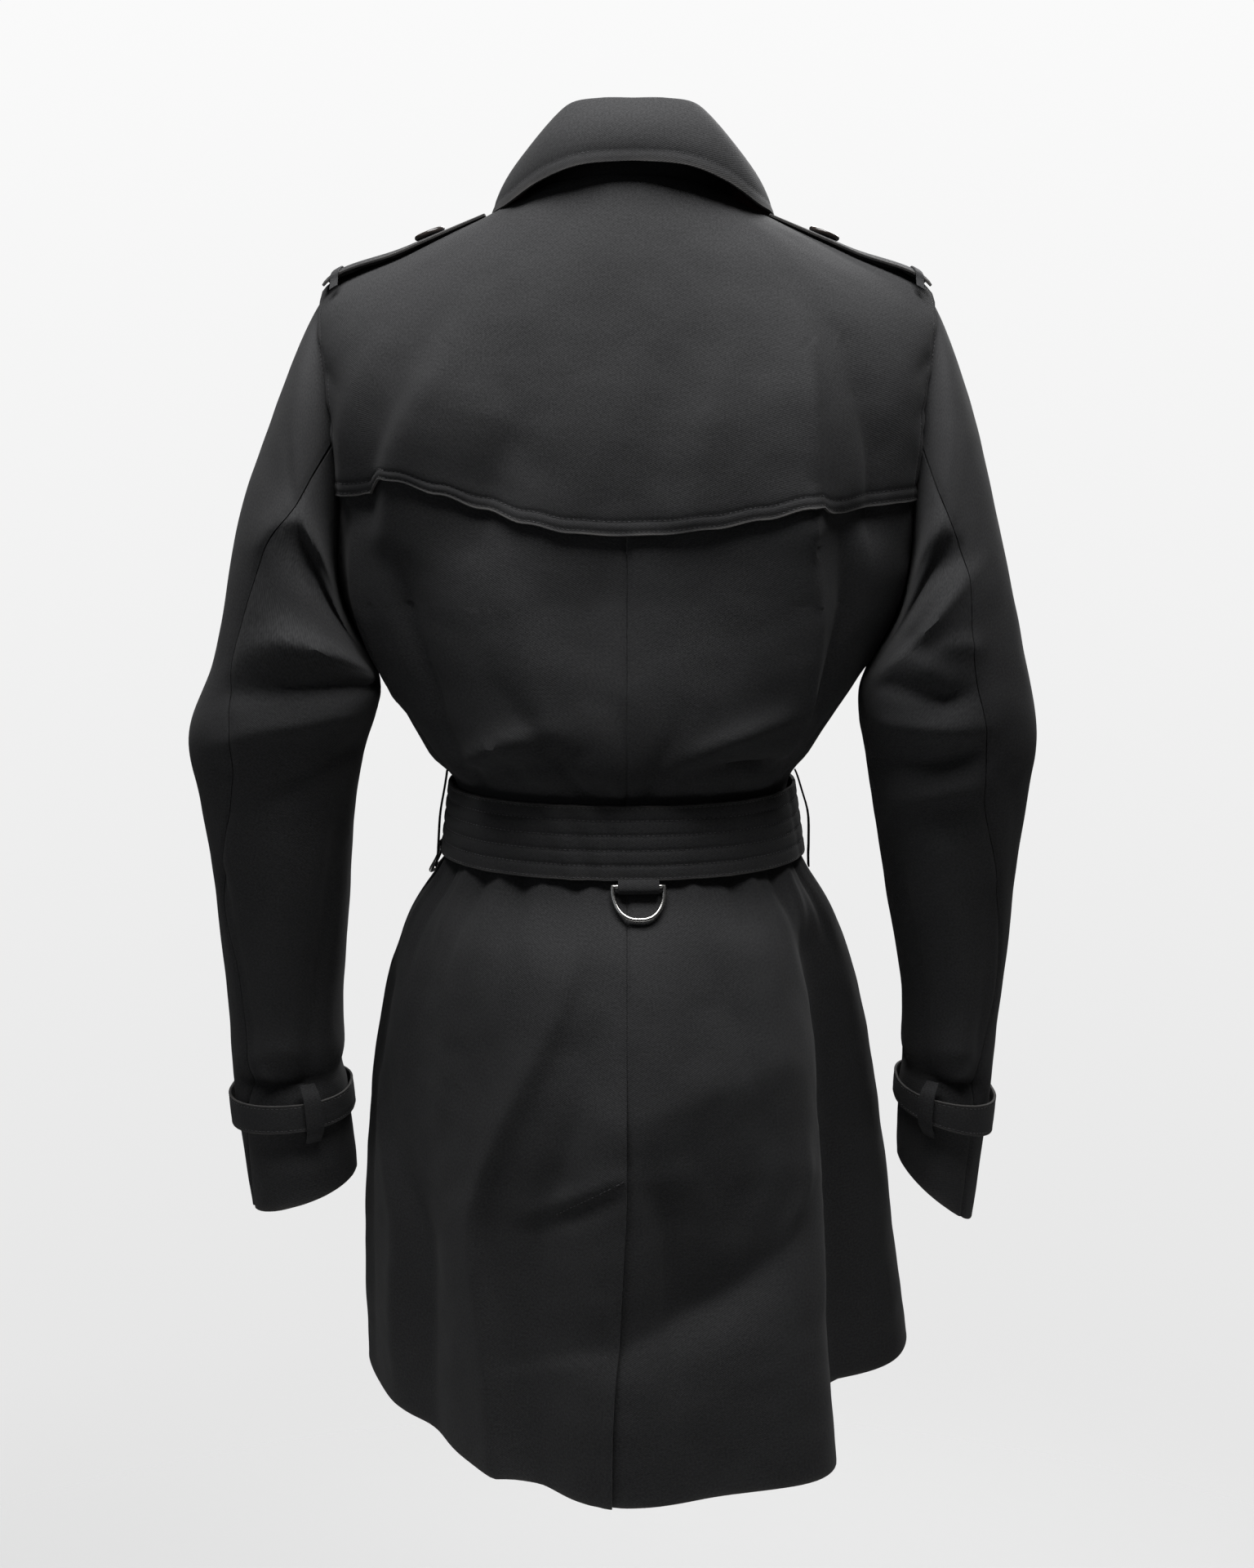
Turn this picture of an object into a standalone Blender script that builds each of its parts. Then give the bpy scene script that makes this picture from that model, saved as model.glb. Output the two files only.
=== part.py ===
"""Belted trench coat, held open as it is worn: every cut piece is one cloth wall at its real size.

The origin is the middle of the neck opening at the height of the centre back neck seam. +Z is up, the
front faces -Y and +X is the wearer's left. Lengths are metres. An angle runs round the body in degrees
from the centre back, positive towards the wearer's left. A level is a place in the table of body rings,
counted from the hem: level 2.5 is halfway between the third ring and the fourth.
"""

import math
from collections import namedtuple

import bmesh
import bpy
from mathutils import Vector

# Cloth and the gaps between pieces
CLOTH = 0.0016
BELT_CLOTH = 0.0026
STRAP_CLOTH = 0.0018
SEAM = 0.0003
LOOSE = 0.0005

# Driving sizes
FRONT_LAP = 0.080
BREAK_HEIGHT = -0.270
VENT_TOP = -0.652
UNDERLAP = 0.050
VENT_SWING = 2.8
BELT_TOP = -0.4136
BELT_LOW = -0.4640
BUTTON_RADIUS = 0.013
SHOULDER_BUTTON_RADIUS = 0.011

# How far layers stand off the body's own surface
LAP_LIFT = 0.0019
FLAP_SEAM_LIFT = 0.0028
FLAP_EDGE_LIFT = 0.0048
BELT_LIFT = 0.0058
BELT_TAIL_LIFT = 0.0094
LAPEL_LIFTS = {"left": 0.0020, "right": 0.0026}

Ring = namedtuple(
    "Ring",
    "side_z back_z front_z left right middle back front square_left square_right square_front",
)
# One row for each level, hem first. left and right are half widths, and middle, back and front are
# places along Y. A squareness of 2 is an ellipse, less is pointed and more is boxy.
RINGS = (
    Ring(-0.876, -0.880, -0.880, 0.2010, 0.2220, -0.070, 0.184, -0.205, 1.52, 1.90, 2.0),
    Ring(-0.800, -0.800, -0.800, 0.2010, 0.2100, -0.058, 0.179, -0.198, 1.50, 1.90, 2.0),
    Ring(-0.700, -0.700, -0.700, 0.1965, 0.1955, -0.046, 0.170, -0.187, 1.55, 1.90, 2.0),
    Ring(-0.600, -0.600, -0.600, 0.1830, 0.1770, -0.033, 0.156, -0.172, 1.75, 1.95, 2.0),
    Ring(-0.520, -0.520, -0.520, 0.1620, 0.1540, -0.018, 0.136, -0.150, 2.00, 2.00, 2.1),
    Ring(-0.475, -0.475, -0.475, 0.1340, 0.1280, -0.008, 0.109, -0.121, 2.10, 2.10, 2.1),
    Ring(-0.445, -0.445, -0.445, 0.1220, 0.1150, -0.005, 0.099, -0.109, 2.20, 2.20, 2.2),
    Ring(-0.412, -0.412, -0.412, 0.1225, 0.1150, -0.005, 0.1005, -0.110, 2.20, 2.20, 2.2),
    Ring(-0.388, -0.388, -0.388, 0.1430, 0.1310, -0.008, 0.118, -0.128, 2.20, 2.20, 2.2),
    Ring(-0.340, -0.340, -0.340, 0.1710, 0.1625, -0.012, 0.124, -0.146, 2.30, 2.30, 2.3),
    Ring(-0.280, -0.280, -0.280, 0.1820, 0.1800, -0.010, 0.119, -0.150, 2.50, 2.50, 2.5),
    Ring(-0.200, -0.215, -0.215, 0.2060, 0.2060, -0.006, 0.118, -0.146, 2.60, 2.60, 2.5),
    Ring(-0.125, -0.165, -0.165, 0.2120, 0.2120, -0.002, 0.115, -0.132, 2.60, 2.60, 2.4),
    Ring(-0.0725, -0.117, -0.122, 0.2070, 0.2070, 0.000, 0.107, -0.115, 2.20, 2.20, 2.2),
    Ring(-0.0480, -0.062, -0.083, 0.1500, 0.1500, 0.000, 0.091, -0.090, 2.10, 2.10, 2.1),
    Ring(-0.0170, 0.000, -0.045, 0.0720, 0.0720, 0.000, 0.065, -0.064, 2.00, 2.00, 2.0),
)
ARMPIT, SHOULDER, NECK = 10, 13, 15
RIDGE_POWER = 1.2
ARMHOLE_REACH = 27.0

# Behind the deep fold at the wearer's right the skirt swings forward by this much at the hem.
SIDE_SWING = 0.050

Fold = namedtuple("Fold", "high_angle high_z low_angle low_z half_width high_depth low_depth")
# A soft trough (depth below 0) or ridge in the body's cloth. half_width is in degrees, depths in metres.
BODY_FOLDS = (
    Fold(38, -0.060, 48, -0.240, 7, 0.004, 0.006),
    Fold(28, -0.080, 36, -0.250, 8, -0.003, -0.006),
    Fold(-30, -0.080, -33, -0.250, 7, 0.003, 0.006),
    Fold(-41, -0.090, -48, -0.400, 7, -0.005, -0.009),
    Fold(58, -0.240, 55, -0.400, 7, -0.004, -0.009),
    Fold(35, -0.330, 32, -0.405, 12, 0.002, 0.005),
    Fold(-28, -0.330, -34, -0.405, 12, 0.002, 0.005),
    Fold(14, -0.480, 30, -0.950, 8, -0.004, -0.010),
    Fold(60, -0.480, 52, -0.950, 9, -0.003, -0.006),
    Fold(-36, -0.480, -36, -0.950, 9, 0.003, 0.014),
    Fold(-62, -0.480, -57, -0.950, 11, -0.010, -0.066),
    Fold(-17, -0.480, -16, -0.950, 8, -0.002, -0.006),
    Fold(118, -0.480, 122, -0.950, 9, -0.004, -0.012),
    Fold(-120, -0.480, -124, -0.950, 9, -0.004, -0.012),
    Fold(146, -0.480, 140, -0.950, 9, 0.003, 0.008),
    Fold(-142, -0.480, -146, -0.950, 9, 0.003, 0.008),
    Fold(122, -0.200, 128, -0.400, 9, -0.003, -0.007),
    Fold(-124, -0.200, -128, -0.400, 9, -0.003, -0.007),
)
FOLD_FADE = 0.045

ArmRing = namedtuple("ArmRing", "outer_x outer_z inner_x inner_z middle half_depth")
# Rings below the armhole: the outer and the inner point of each, its middle along Y and half its depth.
SLEEVES = {
    "left": (
        ArmRing(0.224, -0.106, 0.191, -0.292, 0.006, 0.068),
        ArmRing(0.246, -0.165, 0.182, -0.305, 0.018, 0.066),
        ArmRing(0.266, -0.225, 0.1745, -0.322, 0.028, 0.063),
        ArmRing(0.283, -0.300, 0.1710, -0.352, 0.030, 0.061),
        ArmRing(0.306, -0.374, 0.184, -0.385, 0.024, 0.059),
        ArmRing(0.302, -0.425, 0.194, -0.430, 0.012, 0.057),
        ArmRing(0.296, -0.490, 0.200, -0.495, 0.000, 0.055),
        ArmRing(0.292, -0.555, 0.207, -0.560, -0.010, 0.053),
        ArmRing(0.290, -0.620, 0.209, -0.620, -0.018, 0.052),
        ArmRing(0.287, -0.675, 0.206, -0.668, -0.024, 0.052),
        ArmRing(0.280, -0.736, 0.203, -0.714, -0.028, 0.053),
    ),
    "right": (
        ArmRing(0.222, -0.106, 0.187, -0.292, 0.006, 0.068),
        ArmRing(0.239, -0.160, 0.177, -0.305, 0.016, 0.068),
        ArmRing(0.254, -0.225, 0.168, -0.322, 0.027, 0.064),
        ArmRing(0.271, -0.300, 0.1605, -0.350, 0.030, 0.061),
        ArmRing(0.286, -0.370, 0.167, -0.385, 0.024, 0.059),
        ArmRing(0.284, -0.420, 0.176, -0.432, 0.012, 0.057),
        ArmRing(0.278, -0.490, 0.187, -0.495, 0.000, 0.055),
        ArmRing(0.274, -0.555, 0.200, -0.560, -0.010, 0.053),
        ArmRing(0.269, -0.620, 0.203, -0.618, -0.018, 0.052),
        ArmRing(0.265, -0.680, 0.202, -0.660, -0.024, 0.052),
        ArmRing(0.258, -0.745, 0.203, -0.704, -0.028, 0.053),
    ),
}
ARM_SQUARE = 2.2
# Where the sleeve's back seam runs, in degrees from its outer side, one value for each ring
BACK_SEAM = (90, 80, 68, 56, 54, 60, 56, 48, 54, 62, 60, 58)
FRONT_SEAM = -126

ArmFold = namedtuple("ArmFold", "high_angle high_ring low_angle low_ring half_width depth")
ARM_FOLDS = {
    "left": (
        ArmFold(60, 3.4, 150, 3.0, 22, 0.006),
        ArmFold(50, 4.3, 140, 4.7, 20, -0.008),
        ArmFold(120, 5.6, 60, 6.6, 20, 0.004),
        ArmFold(75, 6.5, 60, 9.4, 20, -0.007),
        ArmFold(100, 8.0, 95, 9.3, 20, 0.005),
        ArmFold(-60, 4.2, -140, 4.9, 22, -0.007),
    ),
    "right": (
        ArmFold(60, 3.2, 150, 3.4, 22, 0.005),
        ArmFold(50, 4.5, 140, 4.4, 20, -0.007),
        ArmFold(120, 5.8, 70, 6.4, 20, 0.004),
        ArmFold(60, 6.8, 70, 9.4, 20, -0.007),
        ArmFold(105, 7.6, 95, 9.3, 20, 0.005),
        ArmFold(-60, 4.4, -140, 4.7, 22, -0.007),
    ),
}
ARM_FOLD_FADE = 0.5

CollarStation = namedtuple("CollarStation", "seat fold_x fold_y fold_z edge_x edge_y edge_z")
# Sections of the collar from the centre back to its front end. seat is an angle on the neck seam.
COLLAR = (
    CollarStation(0, 0.000, 0.058, 0.0480, 0.000, 0.088, 0.0045),
    CollarStation(20, 0.022, 0.057, 0.0480, 0.035, 0.086, 0.0025),
    CollarStation(42, 0.043, 0.047, 0.0450, 0.064, 0.071, -0.0060),
    CollarStation(65, 0.059, 0.027, 0.0300, 0.088, 0.044, -0.0180),
    CollarStation(88, 0.0660, 0.000, 0.0155, 0.100, 0.004, -0.0165),
    CollarStation(104, 0.0650, -0.030, -0.0010, 0.109, -0.034, -0.0290),
    CollarStation(117, 0.0590, -0.060, -0.0250, 0.110, -0.078, -0.0600),
)
# The collar sits a little towards the wearer's right.
COLLAR_SHIFT = -0.004
STAND_GAP = 0.0027
LEAF_BULGE = 0.005

# The storm flap's lower edge: height against angle
FLAP_EDGE = ((-70, -0.207), (-40, -0.213), (-15, -0.229), (0, -0.231), (20, -0.223), (45, -0.200), (70, -0.206))

Look = namedtuple("Look", "colour metallic roughness")
LOOKS = {
    "coat_cloth": Look((0.020, 0.020, 0.023), 0.0, 0.85),
    "horn_button": Look((0.030, 0.028, 0.028), 0.0, 0.30),
    "steel": Look((0.55, 0.55, 0.56), 1.0, 0.28),
    "dark_buckle": Look((0.025, 0.024, 0.025), 0.0, 0.40),
}


# ---------------------------------------------------------------- curves and surfaces


def smooth(share):
    """0 below 0, 1 above 1 and an even rise between."""
    share = min(1.0, max(0.0, share))
    return share * share * (3 - 2 * share)


def read_table(pairs, x):
    """The value at x of a table of (x, value) pairs, joined by even rises."""
    for (x0, low), (x1, high) in zip(pairs, pairs[1:]):
        if x <= x1:
            return low + (high - low) * smooth((x - x0) / (x1 - x0))
    return pairs[-1][1]


def through(rows, place):
    """The row at a place between the rows, on a smooth curve through them all."""
    last = len(rows) - 1
    low = min(last - 1, max(0, math.floor(place)))
    t = place - low
    before, start, end, after = (rows[min(last, max(0, low + step))] for step in (-1, 0, 1, 2))
    return [
        0.5 * (2 * b + (c - a) * t + (2 * a - 5 * b + 4 * c - d) * t * t + (3 * b - a - 3 * c + d) * t**3)
        for a, b, c, d in zip(before, start, end, after)
    ]


def ring_at(level):
    return Ring(*through(RINGS, level))


def level_at(height):
    """The level whose centre back lies at this height."""
    low, high = 0.0, float(NECK)
    for _ in range(40):
        middle = (low + high) / 2
        if ring_at(middle).back_z < height:
            low = middle
        else:
            high = middle
    return low


def side_swing(angle, height):
    """How far forward the skirt's right side has swung, out of the line of the back."""
    low = smooth((-0.500 - height) / 0.38)
    return SIDE_SWING * low * smooth((-angle - 50) / 14) * smooth((142 + angle) / 56)


def smooth_point(angle, level):
    """A point of the body's surface without its folds."""
    ring = ring_at(level)
    sine = math.sin(math.radians(angle))
    cosine = math.cos(math.radians(angle))
    width = ring.left if sine >= 0 else ring.right
    if cosine >= 0:
        depth = ring.back - ring.middle
        square = ring.square_left if sine >= 0 else ring.square_right
        end_z = ring.back_z
    else:
        depth = ring.middle - ring.front
        square = ring.square_front
        end_z = ring.front_z
    reach = (abs(sine) ** square + abs(cosine) ** square) ** (-1 / square)
    height = ring.side_z + (end_z - ring.side_z) * abs(cosine) ** RIDGE_POWER
    along = ring.middle + depth * cosine * reach - side_swing(angle, height)
    return Vector((width * sine * reach, along, height))


def outward(surface, a, b, step_a, step_b):
    """The unit normal of a surface, pointing away from the body."""
    along_a = surface(a + step_a, b) - surface(a - step_a, b)
    along_b = surface(a, b + step_b) - surface(a, b - step_b)
    return along_b.cross(along_a).normalized()


def fold_depth(folds, angle, height):
    total = 0.0
    for fold in folds:
        down = (fold.high_z - height) / (fold.high_z - fold.low_z)
        length = fold.high_z - fold.low_z
        fade = smooth(down * length / FOLD_FADE) * smooth((1 - down) * length / FOLD_FADE)
        middle = fold.high_angle + (fold.low_angle - fold.high_angle) * down
        away = (angle - middle + 180) % 360 - 180
        depth = fold.high_depth + (fold.low_depth - fold.high_depth) * down
        total += depth * fade * math.exp(-((away / fold.half_width) ** 2))
    return total


def body_point(angle, level, out=0.0):
    """A point of the folded cloth, moved out from it by out."""
    point = smooth_point(angle, level)
    normal = outward(smooth_point, angle, level, 0.5, 0.02)
    return point + normal * (out + fold_depth(BODY_FOLDS, angle, point.z))


def seam_angle(level):
    """Where a panel ends: at the side seam, then the armhole, then the shoulder seam."""
    share = (level - ARMPIT) / (SHOULDER - ARMPIT)
    if not 0 < share < 1:
        return 90.0
    return 90.0 - ARMHOLE_REACH * math.sqrt(1 - (2 * share - 1) ** 2)


def half_seam(level):
    """Half of a seam's gap as an angle."""
    ring = ring_at(level)
    return math.degrees(SEAM / 2 / min(ring.left, ring.back - ring.middle))


def arm_ring(side, ring, angle):
    """A point and a normal of the sleeve at one of its rings. Ring 0 is the armhole."""
    turn = math.radians(angle)
    sign = 1 if side == "left" else -1
    if ring == 0:
        level = ARMPIT + (SHOULDER - ARMPIT) * (1 + math.cos(turn)) / 2
        edge = seam_angle(level)
        round_body = sign * (edge if math.sin(turn) >= 0 else 180 - edge)
        point = body_point(round_body, level)
        normal = (body_point(round_body, level, 0.001) - point).normalized()
        return point + Vector((sign * 2 * SEAM, 0, 0)), normal
    row = SLEEVES[side][ring - 1]
    outer = Vector((sign * row.outer_x, row.middle, row.outer_z))
    inner = Vector((sign * row.inner_x, row.middle, row.inner_z))
    middle = (outer + inner) / 2
    across = (outer - inner).normalized()
    half_width = (outer - inner).length / 2
    sine, cosine = math.sin(turn), math.cos(turn)
    reach = (abs(sine) ** ARM_SQUARE + abs(cosine) ** ARM_SQUARE) ** (-1 / ARM_SQUARE)
    back = Vector((0, row.half_depth * sine * reach, 0))
    normal = across * cosine / half_width + Vector((0, sine / row.half_depth, 0))
    return middle + across * half_width * cosine * reach + back, normal.normalized()


def arm_fold_depth(side, angle, ring):
    total = 0.0
    for fold in ARM_FOLDS[side]:
        span = max(abs(fold.low_ring - fold.high_ring), 0.01)
        # A fold that runs mostly round the arm is followed by its angle, one along it by its ring.
        round_arm = abs(fold.low_angle - fold.high_angle) > 40
        away = (angle - fold.high_angle + 180) % 360 - 180
        if round_arm:
            share = away / (fold.low_angle - fold.high_angle)
            middle = fold.high_ring + (fold.low_ring - fold.high_ring) * share
            near = math.exp(-(((ring - middle) / (fold.half_width / 40)) ** 2))
            fade = smooth(share * 4 + 1) * smooth((1 - share) * 4 + 1)
        else:
            share = (ring - fold.high_ring) / (fold.low_ring - fold.high_ring)
            middle = (fold.low_angle - fold.high_angle) * share
            near = math.exp(-(((away - middle) / fold.half_width) ** 2))
            fade = smooth(share * span / ARM_FOLD_FADE) * smooth((1 - share) * span / ARM_FOLD_FADE)
        total += fold.depth * near * fade
    return total


def sleeve_point(side, angle, place, out=0.0):
    """A point of the sleeve's folded cloth at a place between its rings, moved out from it by out."""
    count = len(SLEEVES[side])
    low = min(count - 1, max(0, math.floor(place)))
    near = range(max(0, low - 1), min(count, low + 2) + 1)
    rows = [(*point, *normal) for point, normal in (arm_ring(side, ring, angle) for ring in near)]
    x, y, z, *normal = through(rows, place - near[0])
    lift = out + arm_fold_depth(side, angle, place)
    return Vector((x, y, z)) + Vector(normal).normalized() * lift


# ---------------------------------------------------------------- mesh helpers


def add_object(name, mesh_data, look):
    piece = bpy.data.objects.new(name, mesh_data)
    bpy.context.scene.collection.objects.link(piece)
    mesh_data.materials.append(MATERIALS[look])
    return piece


def finish_mesh(name, bm, look):
    if bm.calc_volume(signed=True) < 0:
        bmesh.ops.reverse_faces(bm, faces=bm.faces[:])
    mesh_data = bpy.data.meshes.new(name)
    bm.to_mesh(mesh_data)
    bm.free()
    mesh_data.shade_smooth()
    mesh_data.set_sharp_from_angle(angle=math.radians(50))
    return add_object(name, mesh_data, look)


def cloth_wall(name, columns, rows, place, thickness=CLOTH, look="coat_cloth", skip=None):
    """A slab of cells bent to shape: place(column, row, out) says where each corner of a cell goes.

    The outer face lies at out 0 and the inner face a thickness behind it. Cells for which
    skip(column, row) is true are cut away.
    """
    bm = bmesh.new()
    bmesh.ops.create_grid(bm, x_segments=columns, y_segments=rows, size=0.5)
    if skip:
        unwanted = [
            face
            for face in bm.faces
            if skip(
                math.floor((face.calc_center_median().x + 0.5) * columns),
                math.floor((face.calc_center_median().y + 0.5) * rows),
            )
        ]
        bmesh.ops.delete(bm, geom=unwanted, context="FACES")
    made = bmesh.ops.extrude_face_region(bm, geom=bm.faces[:])
    for corner in made["geom"]:
        if isinstance(corner, bmesh.types.BMVert):
            corner.co.z = -thickness
    for corner in bm.verts:
        column = round((corner.co.x + 0.5) * columns)
        row = round((corner.co.y + 0.5) * rows)
        corner.co = place(column, row, corner.co.z)
    return finish_mesh(name, bm, look)


def button(name, centre, normal, radius, thickness=0.0036):
    """A round button with a dished face, standing on the cloth at centre."""
    rim = radius * 0.86
    profile = ((0, 0), (rim, 0), (radius, thickness * 0.35), (radius, thickness * 0.7))
    profile += ((rim, thickness), (radius * 0.6, thickness * 0.72), (0, thickness * 0.72))
    bm = bmesh.new()
    corners = [bm.verts.new((across, 0, up)) for across, up in profile]
    edges = [bm.edges.new(pair) for pair in zip(corners, corners[1:])]
    bmesh.ops.spin(
        bm, geom=corners + edges, cent=(0, 0, 0), axis=(0, 0, 1), angle=math.tau, steps=12, use_merge=True
    )
    bmesh.ops.remove_doubles(bm, verts=bm.verts[:], dist=0.00001)
    bmesh.ops.transform(bm, matrix=normal.to_track_quat("Z", "Y").to_matrix().to_4x4(), verts=bm.verts[:])
    bmesh.ops.translate(bm, vec=centre, verts=bm.verts[:])
    return finish_mesh(name, bm, "horn_button")


def wire_loop(name, points, radius, look):
    """A closed loop of round wire through points."""
    curve = bpy.data.curves.new(name, "CURVE")
    curve.dimensions = "3D"
    curve.bevel_depth = radius
    curve.bevel_resolution = 1
    spline = curve.splines.new("POLY")
    spline.points.add(len(points) - 1)
    for slot, point in zip(spline.points, points):
        slot.co = (*point, 1)
    spline.use_cyclic_u = True
    return add_object(name, curve, look)


# ---------------------------------------------------------------- body panels

LOW_HEIGHTS = (-0.880, -0.825, -0.770, -0.710, VENT_TOP, -0.600, -0.550, -0.508, -0.482)
LOW_HEIGHTS += (-0.463, -0.440, -0.414, -0.392, -0.364, -0.324)
ARMHOLE_ROWS = 10
BACK_COLUMNS, FRONT_COLUMNS, UNDERLAP_COLUMNS = 13, 10, 2


def body_levels():
    """The levels of the rows that all body panels share, so that their seams match."""
    levels = [level_at(height) for height in LOW_HEIGHTS[1:]]
    levels.insert(0, 0.0)
    for step in range(ARMHOLE_ROWS + 1):
        share = (1 - math.cos(math.pi * step / ARMHOLE_ROWS)) / 2
        levels.append(ARMPIT + (SHOULDER - ARMPIT) * share)
    levels += [SHOULDER + 0.7, SHOULDER + 1.35, NECK]
    return levels


LEVELS = body_levels()
VENT_ROW = LOW_HEIGHTS.index(VENT_TOP)


def vent_share(height):
    """How far the two vent layers have parted at this height."""
    return smooth((VENT_TOP + 0.09 - height) / 0.08)


def back_angle(column, level):
    """The angle of a column of a back panel, counted from the centre back seam."""
    outer = seam_angle(level) - half_seam(level)
    return half_seam(level) + (outer - half_seam(level)) * column / BACK_COLUMNS


def build_backs():
    def left(column, row, out):
        level = LEVELS[row]
        height = ring_at(level).back_z
        angle = back_angle(column, level)
        swing = VENT_SWING * smooth((VENT_TOP - height) / 0.2)
        angle += swing * (1 - column / BACK_COLUMNS)
        lift = LAP_LIFT * vent_share(height) * (1 - smooth((angle - 16) / 20))
        return body_point(angle, level, out + lift)

    def right(column, row, out):
        level = LEVELS[row]
        height = ring_at(level).back_z
        past = max(0, UNDERLAP_COLUMNS - column) / UNDERLAP_COLUMNS
        angle = back_angle(max(0, column - UNDERLAP_COLUMNS), level)
        angle -= past * math.degrees(UNDERLAP / ring_at(level).left)
        sink = LAP_LIFT * vent_share(height) * (1 - smooth((angle - 16) / 20))
        return body_point(-angle, level, out - sink)

    cloth_wall("back_left", BACK_COLUMNS, len(LEVELS) - 1, left)
    cloth_wall(
        "back_right",
        BACK_COLUMNS + UNDERLAP_COLUMNS,
        len(LEVELS) - 1,
        right,
        skip=lambda column, row: column < UNDERLAP_COLUMNS and row >= VENT_ROW,
    )


def front_edge_angle(level):
    """The angle of a front's free edge, past the centre front, and of the roll line above it."""
    ring = ring_at(level)
    up = max(0.0, (ring.front_z - BREAK_HEIGHT) / (RINGS[NECK].front_z - BREAK_HEIGHT))
    past_centre = FRONT_LAP + (-0.060 - FRONT_LAP) * up
    return 180 + math.degrees(math.asin(past_centre / min(ring.left, ring.right)))


def lap_lift(angle, level):
    """Half the step between the two fronts where they lap, none near the neck."""
    height = ring_at(level).front_z
    return LAP_LIFT * smooth((angle - 114) / 18) * (1 - smooth((height + 0.10) / 0.04))


def front_point(sign, angle, level, out):
    """A point over a front: the wearer's right one (sign -1) laps over the left one."""
    return body_point(sign * angle, level, out - sign * lap_lift(angle, level))


def build_fronts():
    for side, sign in (("left", 1), ("right", -1)):

        def place(column, row, out, sign=sign):
            level = LEVELS[row]
            start = 180 - seam_angle(level) + half_seam(level)
            end = front_edge_angle(level)
            return front_point(sign, start + (end - start) * column / FRONT_COLUMNS, level, out)

        cloth_wall(f"front_{side}", FRONT_COLUMNS, len(LEVELS) - 1, place)


def build_lapels():
    """Each lapel lies on its front, between the roll line and an outer edge that rises to its tip."""
    columns, rows = 5, 7
    tip_angle, tip_level = 148.0, 12.55
    gorge_level = 14.2
    for side, sign, first_angle, first_level, roll_level in (
        ("right", -1, 192.0, 10.75, 10.45),
        ("left", 1, 170.0, 11.75, 12.55),
    ):

        lift = LAPEL_LIFTS[side]
        first = (first_angle, first_level)

        def place(column, row, out, sign=sign, first=first, roll=roll_level, lift=lift):
            up = row / rows
            across = column / columns
            inner_level = roll + (gorge_level - roll) * up
            inner_angle = front_edge_angle(inner_level) - 0.6
            outer_level = first[1] + (tip_level - first[1]) * up
            outer_angle = first[0] + (tip_angle - first[0]) * up
            level = inner_level + (outer_level - inner_level) * across
            angle = inner_angle + (outer_angle - inner_angle) * across
            spring = 0.0012 * math.sin(math.pi * across)
            return front_point(sign, angle, level, out + lift + spring)

        cloth_wall(f"lapel_{side}", columns, rows, place)


def flap_height(angle):
    return read_table(FLAP_EDGE, angle)


def build_storm_flap():
    """The loose cape over the upper back, on the back panels' own columns."""
    first_shared = len(LOW_HEIGHTS) + 5
    loose_rows = 3
    rows = len(LEVELS) - 1 - first_shared + loose_rows

    def place(column, row, out):
        sign = 1 if column >= BACK_COLUMNS else -1
        across = abs(column - BACK_COLUMNS) / BACK_COLUMNS
        if row >= loose_rows:
            level = LEVELS[first_shared + row - loose_rows]
        else:
            low = level_at(flap_height(sign * across * 66))
            level = low + (LEVELS[first_shared] - low) * row / loose_rows
        angle = sign * across * (seam_angle(level) - 2 * half_seam(level))
        hang = smooth((13.3 - level) / 1.5) * math.cos(math.pi / 2 * across**3)
        lift = FLAP_SEAM_LIFT + (FLAP_EDGE_LIFT - FLAP_SEAM_LIFT) * hang
        return body_point(angle, level, out + lift)

    cloth_wall("storm_flap", 2 * BACK_COLUMNS, rows, place)


# ---------------------------------------------------------------- collar


def collar_station(place):
    """The collar's section at a place from -1 (the wearer's right end) to 1."""
    seat, *rest = through(COLLAR, abs(place) * (len(COLLAR) - 1))
    sign = 1 if place >= 0 else -1
    section = CollarStation(seat * sign, *rest)
    fold_x = section.fold_x * sign + COLLAR_SHIFT
    return section._replace(fold_x=fold_x, edge_x=section.edge_x * sign + COLLAR_SHIFT)


def stand_surface(place, up):
    section = collar_station(place)
    seat = body_point(section.seat, NECK) + Vector((0, 0, 2 * SEAM))
    top = Vector((section.fold_x, section.fold_y, section.fold_z - STAND_GAP))
    return seat + (top - seat) * up


def leaf_surface(place, down):
    section = collar_station(place)
    fold = Vector((section.fold_x, section.fold_y, section.fold_z))
    edge = Vector((section.edge_x, section.edge_y, section.edge_z))
    out = Vector((edge.x - fold.x, edge.y - fold.y, 0)).normalized() + Vector((0, 0, 0.6))
    return fold + (edge - fold) * down + out * LEAF_BULGE * math.sin(math.pi * down)


def build_collar():
    columns = 24

    def stand(column, row, out):
        place, up = 2 * column / columns - 1, row / 2
        normal = outward(stand_surface, place, up, 0.01, 0.02)
        return stand_surface(place, up) + normal * out

    def leaf(column, row, out):
        place, down = 2 * column / columns - 1, row / 4
        normal = -outward(leaf_surface, place, down, 0.01, 0.02)
        return leaf_surface(place, down) + normal * out

    cloth_wall("collar_stand", columns, 2, stand)
    cloth_wall("collar_leaf", columns, 4, leaf)


# ---------------------------------------------------------------- sleeves


def sleeve_seam(place):
    return through([(angle,) for angle in BACK_SEAM], place)[0]


ARM_PLACES = (0, 0.6, 1.3, 2.0, 2.7, 3.4, 4.1, 4.7, 5.3, 6.0, 6.9, 7.8, 8.7, 9.4, 10.1, 11.0)


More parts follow.
